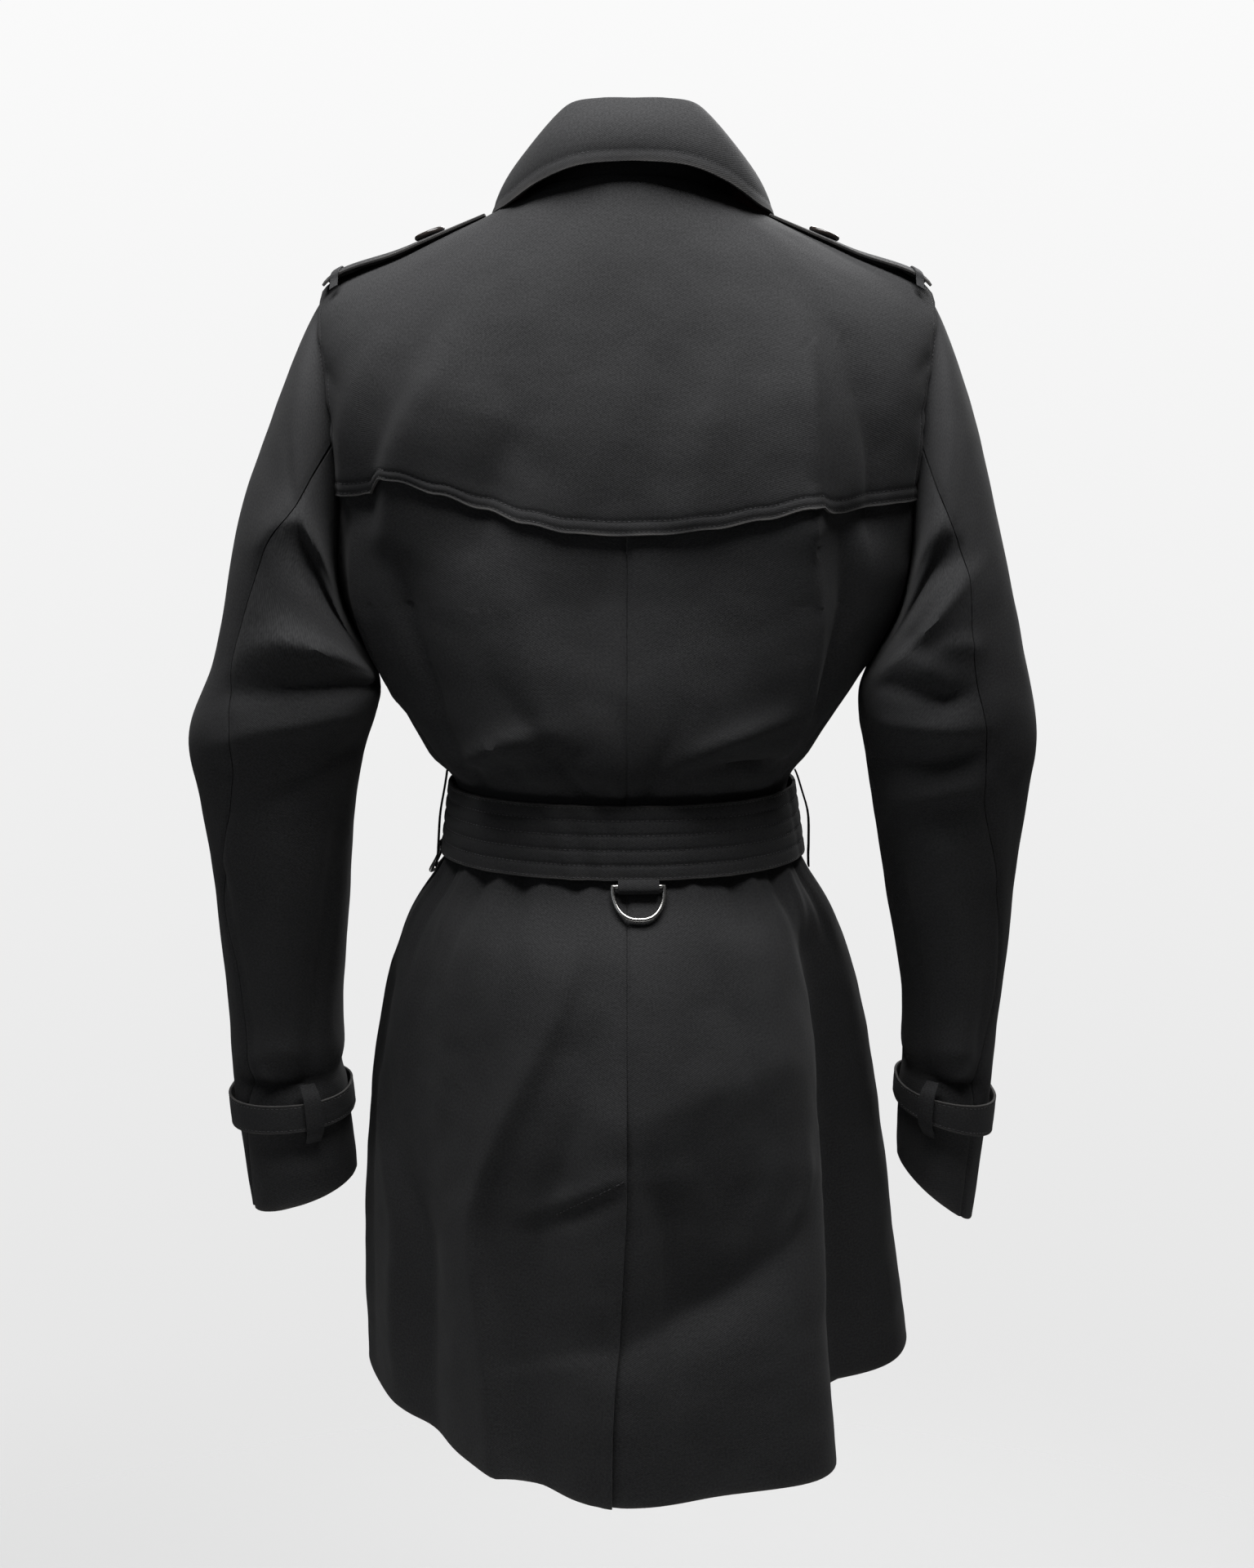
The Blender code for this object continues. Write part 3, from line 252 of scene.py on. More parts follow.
# Sleeve creases: a is an angle round the arm from its outer side, b a ring of the sleeve. Where one runs
# down the arm, its width is on the side of the smaller angles.
HIDDEN_ARM_ROWS = (
    (14, 14, (-60, 4.2, -5), (-100, 4.6, -8), (-150, 4.9, -6)),
    (14, 14, (-50, 5.2, 4), (-140, 6, 4)),
    (14, 14, (-100, 1.6, -3), (-60, 3.4, -4)),
    (10, 10, (-80, 9.2, -4), (-30, 9.25, -5)),
    (10, 10, (150, 9.2, -3), (200, 9.2, -4)),
)
ARM_CREASES = {
    "left": read_creases(
        1,
        (10, 12, (56, 3, 3), (62, 2.8, 6), (82, 2, 10), (114, 1.3, 8), (128, 0.9, 3)),
        (30, 13, (84, 1.8, -2), (104, 2.05, -8), (126, 2.3, -12), (148, 2.7, -9), (164, 3.1, -2)),
        (22, 22, (182, 0.4, 2), (182, 1, 4), (179, 1.6, 4), (172, 2.2, 5)),
        (18, 18, (170, 2.4, 3), (162, 3, 8), (152, 3.8, 7)),
        (12, 9, (56, 3.9, 2), (75, 3.7, 6), (92, 3.55, 8), (140, 3.2, 6), (158, 3.1, 2)),
        (11, 11, (56, 4.3, -3), (90, 4.1, -7), (140, 3.85, -8), (172, 3.7, -4)),
        (16, 16, (60, 5, 3), (90, 4.7, 6), (130, 4.4, 5)),
        (12, 12, (150, 5, -4), (110, 5.5, -4), (80, 6, -1)),
        (14, 14, (60, 5.4, -3), (40, 6.6, -1)),
        (8, 10, (40, 6.8, -4), (62, 8.4, -3), (66, 9, -1)),
        (12, 14, (104, 6, 2), (92, 7.5, 5), (80, 9, 5)),
        (12, 12, (150, 6.2, -3), (136, 7.6, -6), (120, 9, -5)),
        (12, 9, (46, 9.22, -4), (70, 9.2, -8), (104, 9.22, -8), (132, 9.22, -4)),
        (10, 14, (60, 8.9, 2), (90, 8.75, 4), (120, 8.8, 2)),
        (14, 14, (60, 10.4, 2), (120, 10.5, 2)),
        *HIDDEN_ARM_ROWS,
    ),
    "right": read_creases(
        1,
        (10, 10, (126, 0.5, 2), (112, 1.2, 5), (92, 1.9, 6), (74, 2.5, 3)),
        (12, 18, (140, 3.4, 1), (124, 3.3, 5), (98, 3.15, 7), (74, 3.1, 3)),
        (22, 14, (164, 3.1, -1), (148, 2.65, -7), (112, 2.35, -11), (90, 2.5, -10), (72, 2.85, -3)),
        (22, 22, (182, 0.4, 2), (182, 1, 5), (176, 1.7, 5), (166, 2.4, 6), (156, 3.2, 4)),
        (5, 6, (92, 3.62, 2), (80, 3.75, 4), (68, 3.9, 2)),
        (6, 6, (114, 3.5, 2), (104, 3.8, 4), (94, 4.15, 3)),
        (9, 9, (138, 2.7, -3), (120, 3.2, -5), (106, 3.55, -2)),
        (9, 9, (134, 3.8, -4), (96, 4.3, -6), (78, 4.35, -2)),
        (14, 12, (136, 4.5, 4), (96, 4.75, 6), (70, 4.8, 2)),
        (12, 12, (140, 5.2, -4), (112, 5.2, -6), (82, 5.1, -5)),
        (14, 14, (140, 5.8, 4), (88, 5.65, 5)),
        (14, 14, (50, 5.6, -3), (34, 6.8, -1)),
        (12, 14, (104, 6.4, 3), (84, 9, 5)),
        (11, 11, (58, 7, -4), (62, 9, -3)),
        (12, 12, (146, 6.6, -4), (128, 9, -5)),
        (12, 9, (56, 9.25, -5), (84, 9.22, -8), (130, 9.22, -5)),
        (10, 14, (66, 8.9, 2), (92, 8.75, 4), (122, 8.8, 2)),
        *HIDDEN_ARM_ROWS,
    ),
}
ARM_SCALE = (0.00095, 0.062)

CollarStation = namedtuple("CollarStation", "seat fold_x fold_y fold_z edge_x edge_y edge_z")
COLLAR = (
    CollarStation(0, 0.000, 0.058, 0.0506, 0.000, 0.0765, 0.0095),
    CollarStation(20, 0.022, 0.057, 0.0506, 0.034, 0.0750, 0.0070),
    CollarStation(42, 0.043, 0.047, 0.0474, 0.061, 0.0630, -0.0025),
    CollarStation(65, 0.059, 0.027, 0.0320, 0.083, 0.041, -0.0155),
    CollarStation(88, 0.0660, 0.000, 0.0165, 0.095, 0.003, -0.0205),
    CollarStation(104, 0.0650, -0.030, -0.0005, 0.101, -0.033, -0.0360),
    CollarStation(117, 0.0590, -0.060, -0.0250, 0.103, -0.077, -0.0640),
)
COLLAR_SHIFT = -0.004
STAND_GAP = 0.0027
LEAF_BULGE = 0.005

# The storm flap's lower edge: height against angle. It steps where a fold carries it.
FLAP_EDGE = (
    (-70, -0.211), (-56, -0.213), (-45, -0.216), (-38.5, -0.2185), (-36.5, -0.218), (-34.5, -0.2135),
    (-32, -0.214), (-24, -0.2215), (-15, -0.2275), (-6, -0.231), (2, -0.2318), (10, -0.23), (18, -0.224),
    (26, -0.215), (34, -0.2055), (42, -0.1965), (46, -0.195), (48, -0.199), (50, -0.206), (54, -0.208),
    (72, -0.2095),
)
FLAP_EVEN = ((-70, -0.2110), (2, -0.2318), (72, -0.2095))

# ---------------------------------------------------------------- curves and surfaces


def smooth(share):
    """0 below 0, 1 above 1 and an even rise between."""
    share = min(1.0, max(0.0, share))
    return share * share * (3 - 2 * share)


def read_table(pairs, x):
    """The value at x of a table of (x, value) pairs, joined by even rises."""
    for (x0, low), (x1, high) in zip(pairs, pairs[1:]):
        if x <= x1:
            return low + (high - low) * smooth((x - x0) / (x1 - x0))
    return pairs[-1][1]


def through(rows, place):
    """The row at a place between the rows, on a smooth curve through them all."""
    last = len(rows) - 1
    low = min(last - 1, max(0, math.floor(place)))
    t = place - low
    before, start, end, after = (rows[min(last, max(0, low + step))] for step in (-1, 0, 1, 2))
    return [
        0.5 * (2 * b + (c - a) * t + (2 * a - 5 * b + 4 * c - d) * t * t + (3 * b - a - 3 * c + d) * t**3)
        for a, b, c, d in zip(before, start, end, after)
    ]


def halve(low, high, count, is_under):
    """The place between low and high up to which is_under holds, by halving count times."""
    for _ in range(count):
        middle = (low + high) / 2
        if is_under(middle):
            low = middle
        else:
            high = middle
    return float(low)


@lru_cache(maxsize=8192)
def ring_at(level):
    return Ring(*through(RINGS, level))


@lru_cache(maxsize=4096)
def level_at(height):
    """The level whose centre back lies at this height."""
    return halve(0, NECK, 30, lambda level: Ring(*through(RINGS, level)).back_z < height)


def side_swing(angle, height):
    """How far forward the skirt's right side has swung, out of the line of the back."""
    low = smooth((SWING_TOP - height) / SWING_DROP)
    around = smooth((-angle - SWING_START) / 14) * smooth((142 + angle) / 56)
    return SIDE_SWING * low * around


def smooth_point(angle, level):
    """A point of the body's surface without its folds."""
    ring = ring_at(level)
    sine = math.sin(math.radians(angle))
    cosine = math.cos(math.radians(angle))
    width = ring.left if sine >= 0 else ring.right
    if cosine >= 0:
        depth = ring.back - ring.middle
        square = ring.square_left if sine >= 0 else ring.square_right
        end_z = ring.back_z
    else:
        depth = ring.middle - ring.front
        square = ring.square_front
        end_z = ring.front_z
    reach = (abs(sine) ** square + abs(cosine) ** square) ** (-1 / square)
    height = ring.side_z + (end_z - ring.side_z) * abs(cosine) ** RIDGE_POWER
    along = ring.middle + depth * cosine * reach - side_swing(angle, height)
    return Vector((width * sine * reach, along, height))


def outward(surface, a, b, step_a, step_b):
    """The unit normal of a surface, pointing away from the body."""
    along_a = surface(a + step_a, b) - surface(a - step_a, b)
    along_b = surface(a, b + step_b) - surface(a, b - step_b)
    return along_b.cross(along_a).normalized()


def fold_depth(angle, height):
    """How far the long folds stand off the smooth surface."""
    total = 0.0
    for fold in BODY_FOLDS:
        length = fold.high_z - fold.low_z
        down = (fold.high_z - height) / length
        if not 0 < down < 1:
            continue
        away = (angle - fold.high_angle - (fold.low_angle - fold.high_angle) * down + 180) % 360 - 180
        if abs(away) > 3 * fold.half_width:
            continue
        fade = smooth(down * length / FOLD_FADE) * smooth((1 - down) * length / FOLD_FADE)
        depth = fold.high_depth + (fold.low_depth - fold.high_depth) * down
        total += depth * fade * math.exp(-((away / fold.half_width) ** 2))
    return total


# A crease fades out within this many of its flanks.
FLANKS = 2.6


def spans(creases, scale):
    """The creases' stretches in metres, each with a box that it can't reach past."""
    found = []
    for crease in creases:
        stretches = []
        count = 3 * len(crease.points) - 2
        points = [through(crease.points, step / 3) for step in range(count)]
        for (a0, b0, depth0), (a1, b1, depth1) in zip(points, points[1:]):
            along = ((a1 - a0) * scale[0], (b1 - b0) * scale[1])
            stretches.append((a0, b0, *along, math.hypot(*along) ** 2, depth0, depth1))
        reach = FLANKS * max(crease.width, crease.other)
        places = [point[0] for point in crease.points], [point[1] for point in crease.points]
        limits = [(min(side) - reach / unit, max(side) + reach / unit) for side, unit in zip(places, scale)]
        found.append((crease.width, crease.other, limits, stretches))
    return found


def crease_depth(found, scale, a, b):
    """What the creases add at (a, b), where scale says how many metres a unit of a and of b are."""
    total = 0.0
    for width, other, ((least_a, most_a), (least_b, most_b)), stretches in found:
        if not (least_a < a < most_a and least_b < b < most_b):
            continue
        nearest, flank, depth = 9.0, width, 0.0
        for a0, b0, along_a, along_b, square, depth0, depth1 in stretches:
            off_a, off_b = (a - a0) * scale[0], (b - b0) * scale[1]
            share = min(1.0, max(0.0, (off_a * along_a + off_b * along_b) / square))
            away = math.hypot(off_a - along_a * share, off_b - along_b * share)
            if away < nearest:
                nearest = away
                flank = width if along_a * off_b - along_b * off_a >= 0 else other
                depth = depth0 + (depth1 - depth0) * share
        if nearest < FLANKS * flank:
            total += depth * math.exp(-1.15 * (nearest / flank) ** 1.4)
    return total


def gather_depth(angle, height):
    """The pleats that the belt draws in: long ones below it and short ones above."""
    if not GATHER_LOW <= height <= GATHER_HIGH or UNDER_BELT < height < OVER_BELT:
        return 0.0
    total = 0.0
    for gather in GATHERS:
        if height < UNDER_BELT:
            down = (GATHER_START - height) / (GATHER_START - gather.low_z)
            fade = smooth((UNDER_BELT - height) / 0.030) * (1 - smooth(down))
        else:
            down = (height + 0.410) / 0.055
            fade = 0.55 * smooth((height - OVER_BELT) / 0.012) * (1 - smooth(down))
        away = (angle - gather.angle - gather.lean * (0.5 + max(0.0, down)) + 180) % 360 - 180
        away *= BODY_SCALE[0] / GATHER_WIDTH
        if abs(away) < FLANKS:
            total += gather.depth * fade * math.exp(-away * away)
    return total


def belt_hold(height):
    """1 in the open and near 0 where the belt holds the cloth."""
    return 1 - BELT_GRIP * smooth((GRIP_HIGH - height) / GRIP_FADE) * smooth((height - GRIP_LOW) / GRIP_FADE)


def small_rumple(spot, coarse, fine):
    """The cloth's small unevenness, which no table gives, in two sizes."""
    return coarse * noise.noise(spot) + fine * noise.noise(spot * 2.7)


BODY_SPANS = spans(BODY_CREASES, BODY_SCALE)


def cloth_depth(angle, height):
    """How far the folded cloth stands off the body's smooth surface."""
    creases = crease_depth(BODY_SPANS, BODY_SCALE, (angle + 180) % 360 - 180, height)
    turn = math.radians(angle)
    small = small_rumple(Vector((math.sin(turn) * 3.2, math.cos(turn) * 3.2, height * 18)), 0.0011, 0.0006)
    return fold_depth(angle, height) + gather_depth(angle, height) + (creases + small) * belt_hold(height)


@lru_cache(maxsize=200000)
def cloth_seat(angle, level):
    """A point of the folded cloth and the direction that stands off it."""
    point = smooth_point(angle, level)
    normal = outward(smooth_point, angle, level, 0.5, 0.02)
    return point + normal * cloth_depth(angle, point.z), normal


def body_point(angle, level, out=0.0):
    """A point of the body's folded cloth, moved out from it by out."""
    point, normal = cloth_seat(round(angle, 5), round(level, 6))
    return point + normal * out


def seam_angle(level):
    """Where a panel ends: at the side seam, then the armhole, then the shoulder seam."""
    share = (level - ARMPIT) / (SHOULDER - ARMPIT)
    if not 0 < share < 1:
        return 90.0
    return 90.0 - ARMHOLE_REACH * math.sqrt(1 - (2 * share - 1) ** 2)


def half_seam(level):
    """Half of a seam's gap as an angle."""
    ring = ring_at(level)
    return math.degrees(SEAM / 2 / min(ring.left, ring.back - ring.middle))


def seam_dip(distance, depth=0.0011, width=0.0024):
    """How far the cloth turns in beside a seam."""
    return -depth * math.exp(-((distance / width) ** 2))


def arm_ring(side, ring, angle):
    """A point and a normal of the sleeve at one of its rings. Ring 0 is the armhole."""
    turn = math.radians(angle)
    sign = 1 if side == "left" else -1
    if ring == 0:
        level = ARMPIT + (SHOULDER - ARMPIT) * (1 + math.cos(turn)) / 2
        edge = seam_angle(level)
        round_body = sign * (edge if math.sin(turn) >= 0 else 180 - edge)
        point = body_point(round_body, level)
        normal = (body_point(round_body, level, 0.001) - point).normalized()
        return point + Vector((sign * 2 * SEAM, 0, 0)), normal
    row = SLEEVES[side][ring - 1]
    outer = Vector((sign * row.outer_x, row.middle, row.outer_z))
    inner = Vector((sign * row.inner_x, row.middle, row.inner_z))
    middle = (outer + inner) / 2
    across = (outer - inner).normalized()
    half_width = (outer - inner).length / 2
    sine, cosine = math.sin(turn), math.cos(turn)
    reach = (abs(sine) ** ARM_SQUARE + abs(cosine) ** ARM_SQUARE) ** (-1 / ARM_SQUARE)
    back = Vector((0, row.half_depth * sine * reach, 0))
    normal = across * cosine / half_width + Vector((0, sine / row.half_depth, 0))
    return middle + across * half_width * cosine * reach + back, normal.normalized()


@lru_cache(maxsize=100000)
def arm_seat(side, angle, place):
    """A point and a normal of the sleeve's smooth form at a place between its rings."""
    count = len(SLEEVES[side])
    low = min(count - 1, max(0, math.floor(place)))
    near = range(max(0, low - 1), min(count, low + 2) + 1)
    rows = [(*point, *normal) for point, normal in (arm_ring(side, ring, angle) for ring in near)]
    x, y, z, *normal = through(rows, place - near[0])
    return Vector((x, y, z)), Vector(normal).normalized()


ARM_SPANS = {side: spans(creases, ARM_SCALE) for side, creases in ARM_CREASES.items()}


def arm_crease(side, angle, place):
    """How far the sleeve's folds stand off its smooth form: not at all at the armhole."""
    creases = crease_depth(ARM_SPANS[side], ARM_SCALE, (angle + 150) % 360 - 150, place)
    turn = math.radians(angle)
    small = small_rumple(Vector((math.sin(turn) * 1.3, math.cos(turn) * 1.3, place * 1.1)), 0.0010, 0.0005)
    return (creases + small) * smooth(place / 0.8)


def sleeve_point(side, angle, place, out=0.0):
    """A point of the sleeve's folded cloth at a place between its rings, moved out from it by out."""
    angle, place = round(angle, 5), round(place, 5)
    point, normal = arm_seat(side, angle, place)
    return point + normal * (out + arm_crease(side, angle, place))


# ---------------------------------------------------------------- settings that a user may change


def length_setting(name, description, default, least, most):
    return bpy.props.FloatProperty(
        name=name, description=description, default=default, min=least, max=most, unit="LENGTH"
    )


class CoatSizes(bpy.types.PropertyGroup):
    cell: length_setting("Cell", "Size of the cloth's grid cells", 0.0046, 0.002, 0.02)
    stitch_length: length_setting("Stitch length", "Length of one topstitch that shows", 0.0025, 0.001, 0.01)
    stitch_pitch: length_setting("Stitch pitch", "From one topstitch to the next", 0.0033, 0.001, 0.01)
    thread: length_setting("Thread", "Thickness of the topstitching thread", 0.0006, 0.0002, 0.002)
    margin: length_setting("Topstitch margin", "From an edge to its topstitching", 0.0085, 0.002, 0.02)


def linear(code):
    """The linear values of an sRGB hex colour."""
    values = (int(code[i : i + 2], 16) / 255 for i in (1, 3, 5))
    return tuple(v / 12.92 if v <= 0.04045 else ((v + 0.055) / 1.055) ** 2.4 for v in values)


def colour_setting(name, description, code):
    return bpy.props.FloatVectorProperty(
        name=name, description=description, default=linear(code), subtype="COLOR", size=3, min=0, max=1
    )


class CoatColours(bpy.types.PropertyGroup):
    cloth: colour_setting("Cloth", "Black cotton gabardine", "#323233")
    # The edge colour stands for wear and also for a painted highlight on the cloth's free edges.
    worn_edge_and_highlight: colour_setting("Worn edge", "Gabardine rubbed pale along its edges", "#5A5856")
    thread: colour_setting("Thread", "Topstitching thread", "#343336")
    undercollar: colour_setting("Undercollar", "Wine-red cloth under the collar", "#5B1D1C")
    horn: colour_setting("Horn", "Dark imitation horn of the buttons", "#1E1B1A")
    buckle: colour_setting("Buckle", "Moulded dark buckle", "#1A1918")
    steel: colour_setting("Steel", "Nickel-plated steel wire", "#C9C8C5")
    paper: colour_setting("Paper", "Pale paper of the stage", "#F2F2F2")


def sizes():
    return bpy.context.scene.coat_sizes


def colours():
    return bpy.context.scene.coat_colours


# ---------------------------------------------------------------- materials


def node(tree, kind, settings=None, links=None):
    """Add a shader node: settings go to its sockets or properties, links join (node, output) to sockets."""
    made = tree.nodes.new(f"ShaderNode{kind}")
    for key, value in (settings or {}).items():
        if isinstance(key, int) or key in made.inputs:
            made.inputs[key].default_value = value
        else:
            setattr(made, key, value)
    for key, (source, output) in (links or {}).items():
        tree.links.new(source.outputs[output], made.inputs[key])
    return made


def surface_material(name, shader_settings, shader_links=None):
    """A material with one Principled shader. shader_links(tree) gives what is joined to its sockets."""
    found = bpy.data.materials.get(name)
    if found:
        return found
    material = bpy.data.materials.new(name)
    material.use_nodes = True
    tree = material.node_tree
    tree.nodes.clear()
    links = shader_links(tree) if shader_links else {}
    shader = node(tree, "BsdfPrincipled", shader_settings, links)
    node(tree, "OutputMaterial", None, {"Surface": (shader, "BSDF")})
    return material


# Real ribs are 0.4 mm apart: these are drawn at 1.1 mm, or they would not show.
RIB_SPACING = 0.0011
TWILL_SLANT = 63


def weave(tree, colour, worn_edge_and_highlight, slub=0.10):
    """Steep twill ribs, uneven dye, edges paled by wear and by a painted highlight, and the small rumples of
    well-used cotton.
    """
    uv = node(tree, "UVMap", {"uv_map": "weave"})
    place = node(tree, "TexCoord")
    tilt = node(tree, "Mapping", {"Rotation": (0, 0, math.radians(TWILL_SLANT))}, {"Vector": (uv, "UV")})
    settings = {"Scale": 0.314 / RIB_SPACING, "Distortion": 0.6, "Detail": 1.0, "Detail Scale": 2.0}
    ribs = node(tree, "TexWave", settings, {"Vector": (tilt, "Vector")})
    # Single fibres of about 1.6 mm, rumples of about 4 cm and clouds of dye of about 11 cm
    fibres = node(tree, "TexNoise", {"Scale": 620.0, "Detail": 3.0}, {"Vector": (uv, "UV")})
    settings = {"Scale": 26.0, "Detail": 5.0, "Roughness": 0.55, "Distortion": 0.4}
    rumple = node(tree, "TexNoise", settings, {"Vector": (place, "Object")})
    dye = node(tree, "TexNoise", {"Scale": 9.0, "Detail": 4.0}, {"Vector": (place, "Object")})
    settings = {"From Min": 0.3, "From Max": 0.7, "To Min": 1 - slub, "To Max": 1 + slub}
    tone = node(tree, "MapRange", settings, {"Value": (dye, "Fac")})
    rib_tone = node(tree, "MapRange", {"To Min": 0.88, "To Max": 1.10}, {"Value": (ribs, "Fac")})
    settings = {"From Min": 0.3, "From Max": 0.7, "To Min": 0.72, "To Max": 1.28}
    fleck = node(tree, "MapRange", settings, {"Value": (fibres, "Fac")})
    grained = node(tree, "Math", {"operation": "MULTIPLY"}, {0: (rib_tone, 0), 1: (fleck, 0)})
    both = node(tree, "Math", {"operation": "MULTIPLY"}, {0: (tone, 0), 1: (grained, 0)})
    settings = {"data_type": "RGBA", "blend_type": "MULTIPLY", "Factor": 1.0, 6: (*colour, 1)}
    shade = node(tree, "Mix", settings, {7: (both, 0)})
    # Painted highlight and wear: the cloth is mixed towards the pale edge colour near its free edges.
    rubbed_and_lit = node(tree, "Attribute", {"attribute_name": "wear_and_highlight"})
    settings = {"From Min": 0.35, "From Max": 0.65, "To Min": 0.15, "To Max": 0.75}
    patchy = node(tree, "MapRange", settings, {"Value": (rumple, "Fac")})
    share = node(tree, "Math", {"operation": "MULTIPLY"}, {0: (rubbed_and_lit, "Fac"), 1: (patchy, 0)})
    face = node(tree, "Mix", {"data_type": "RGBA", 7: (*worn_edge_and_highlight, 1)}, {"Factor": (share, 0), 6: (shade, 2)})
    bump = None
    for strength, depth, pattern in ((0.35, 0.0022, rumple), (0.30, 0.00018, fibres), (0.35, 0.00022, ribs)):
        links = {"Height": (pattern, "Fac")}
        if bump:
            links["Normal"] = (bump, 0)
        bump = node(tree, "Bump", {"Strength": strength, "Distance": depth}, links)
    return {"Base Color": (face, 2), "Normal": (bump, 0)}


def gabardine():
    # Tightly woven combed cotton: matt, with a faint sheen where it turns away and ribs on the slant.
    settings = {"Roughness": 0.82, "IOR": 1.46, "Specular IOR Level": 0.2}
    settings |= {"Sheen Weight": 0.05, "Sheen Roughness": 0.5}
    colour, worn_edge_and_highlight = colours().cloth, colours().worn_edge_and_highlight
    return surface_material("cotton_gabardine_twill", settings, lambda tree: weave(tree, colour, worn_edge_and_highlight))


def undercollar_cloth():
    # Plain-woven wool and cotton melton: duller than the coat's own face.
    settings = {"Roughness": 0.88, "IOR": 1.46, "Sheen Weight": 0.2, "Sheen Roughness": 0.5}
    red = colours().undercollar
    return surface_material("woven_undercollar_melton", settings, lambda tree: weave(tree, red, red, 0.16))


def marked_material(name, settings, marks, rough=None, bump=None, tint=None):
    """A smooth finish whose fine marks, one noise, vary its roughness, its height or its colour."""

    def links(tree):
        place = node(tree, "TexCoord")
        mark = node(tree, "TexNoise", marks, {"Vector": (place, "Object")})
        found = {}
        if rough:
            low, high = rough
            made = node(tree, "MapRange", {"To Min": low, "To Max": high}, {"Value": (mark, "Fac")})
            found["Roughness"] = (made, 0)
        if bump:
            strength, depth = bump
            made = node(tree, "Bump", {"Strength": strength, "Distance": depth}, {"Height": (mark, "Fac")})
            found["Normal"] = (made, 0)
        if tint:
            ends = {number: (*colour, 1) for number, colour in zip((6, 7), tint)}
            made = node(tree, "Mix", {"data_type": "RGBA", **ends}, {"Factor": (mark, "Fac")})
            found["Base Color"] = (made, 2)
        return found

    return surface_material(name, settings, links)


def stitching_thread():
    # Spun polyester thread: a little smoother than the cloth, so each stitch catches light. Its fuzz is
    # about half a millimetre long.
    settings = {"Base Color": (*colours().thread, 1), "Roughness": 0.5, "IOR": 1.5, "Sheen Weight": 0.25}
    return marked_material("spun_polyester_thread", settings, {"Scale": 2200.0}, bump=(0.4, 0.0001))


def horn():
    # Cast polyester that imitates buffalo horn: glossy, near black, with browner clouds of about 8 mm.
    tint = (colours().horn, linear("#3A322D"))
    clouds = {"Scale": 120.0, "Distortion": 1.6}
    return marked_material("cast_polyester_horn", {"IOR": 1.55}, clouds, rough=(0.16, 0.34), tint=tint)


def moulded_buckle():
    # Injection-moulded resin with a satin skin and handling marks of about 4 mm.
    settings = {"Base Color": (*colours().buckle, 1), "IOR": 1.5}
    marks = {"Scale": 260.0, "Detail": 5.0}
    return marked_material("moulded_resin_satin", settings, marks, (0.28, 0.5), (0.15, 0.0002))


def nickel_steel():
    # Drawn steel wire, nickel plated and tumbled: bright, with scratches from use of about 1.4 mm.
    settings = {"Base Color": (*colours().steel, 1), "Metallic": 1.0}
    marks = {"Scale": 700.0, "Detail": 4.0}
    return marked_material("nickel_plated_steel_wire", settings, marks, (0.16, 0.36), (0.12, 0.0001))


def stage_paper():
    # A sheet of matt paper, which thins out to nothing past its middle so that no edge shows.

    def fade(tree):
        place = node(tree, "TexCoord")
        reach = node(tree, "VectorMath", {"operation": "LENGTH"}, {0: (place, "Object")})
        settings = {"interpolation_type": "SMOOTHSTEP", "From Min": 0.5, "From Max": 1.7}
        settings |= {"To Min": 1.0, "To Max": 0.0}
        left = node(tree, "MapRange", settings, {"Value": (reach, "Value")})
        return {"Alpha": (left, 0)}

    settings = {"Base Color": (*colours().paper, 1), "Roughness": 0.9}
    return surface_material("matt_floor_paper", settings, fade)


# ---------------------------------------------------------------- making pieces


# How far in from a free edge the cloth is paled by wear and a painted highlight, the share of a wall that
# its turned edge rounds, and the steps in which a row of stitches is measured
EDGE_WEAR_AND_HIGHLIGHT_REACH = 0.0016
EDGE_SHARE = 0.3
ROUTE_STEPS = 90


def finish_piece(piece, materials, nodes):
    """Give a piece its materials and its body, and hide the imported nodes that it stands for."""
    for material in materials:
        piece.data.materials.append(material)
    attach(piece, "root")
    if nodes:
        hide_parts(*nodes)
    return piece


def new_piece(name, bm, materials, nodes=()):
    """A piece from a bmesh, which is used up."""
    mesh = bpy.data.meshes.new(name)
    bm.to_mesh(mesh)
    bm.free()
    mesh.shade_smooth()
    piece = bpy.data.objects.new(name, mesh)
    bpy.context.scene.collection.objects.link(piece)
    return finish_piece(piece, materials, nodes)


def steps(length, start=(), end=(), cell=None):
    """Places from 0 to 1 along a length: even cells, and closer ones at distances from either end."""
    cell = cell or sizes().cell
    first = start[-1] if start else 0.0
    last = length - (end[-1] if end else 0.0)
    count = max(1, round((last - first) / cell))
    places = [0.0, length, *start, *(length - gap for gap in end)]
    places += [first + (last - first) * step / count for step in range(count + 1)]
    return sorted({round(place / length, 6) for place in places})


def runs(points):
    """Distances along a row of points, from its first."""
    total, found = 0.0, [0.0]
    for a, b in zip(points, points[1:]):
        total += (b - a).length
        found.append(total)
    return found


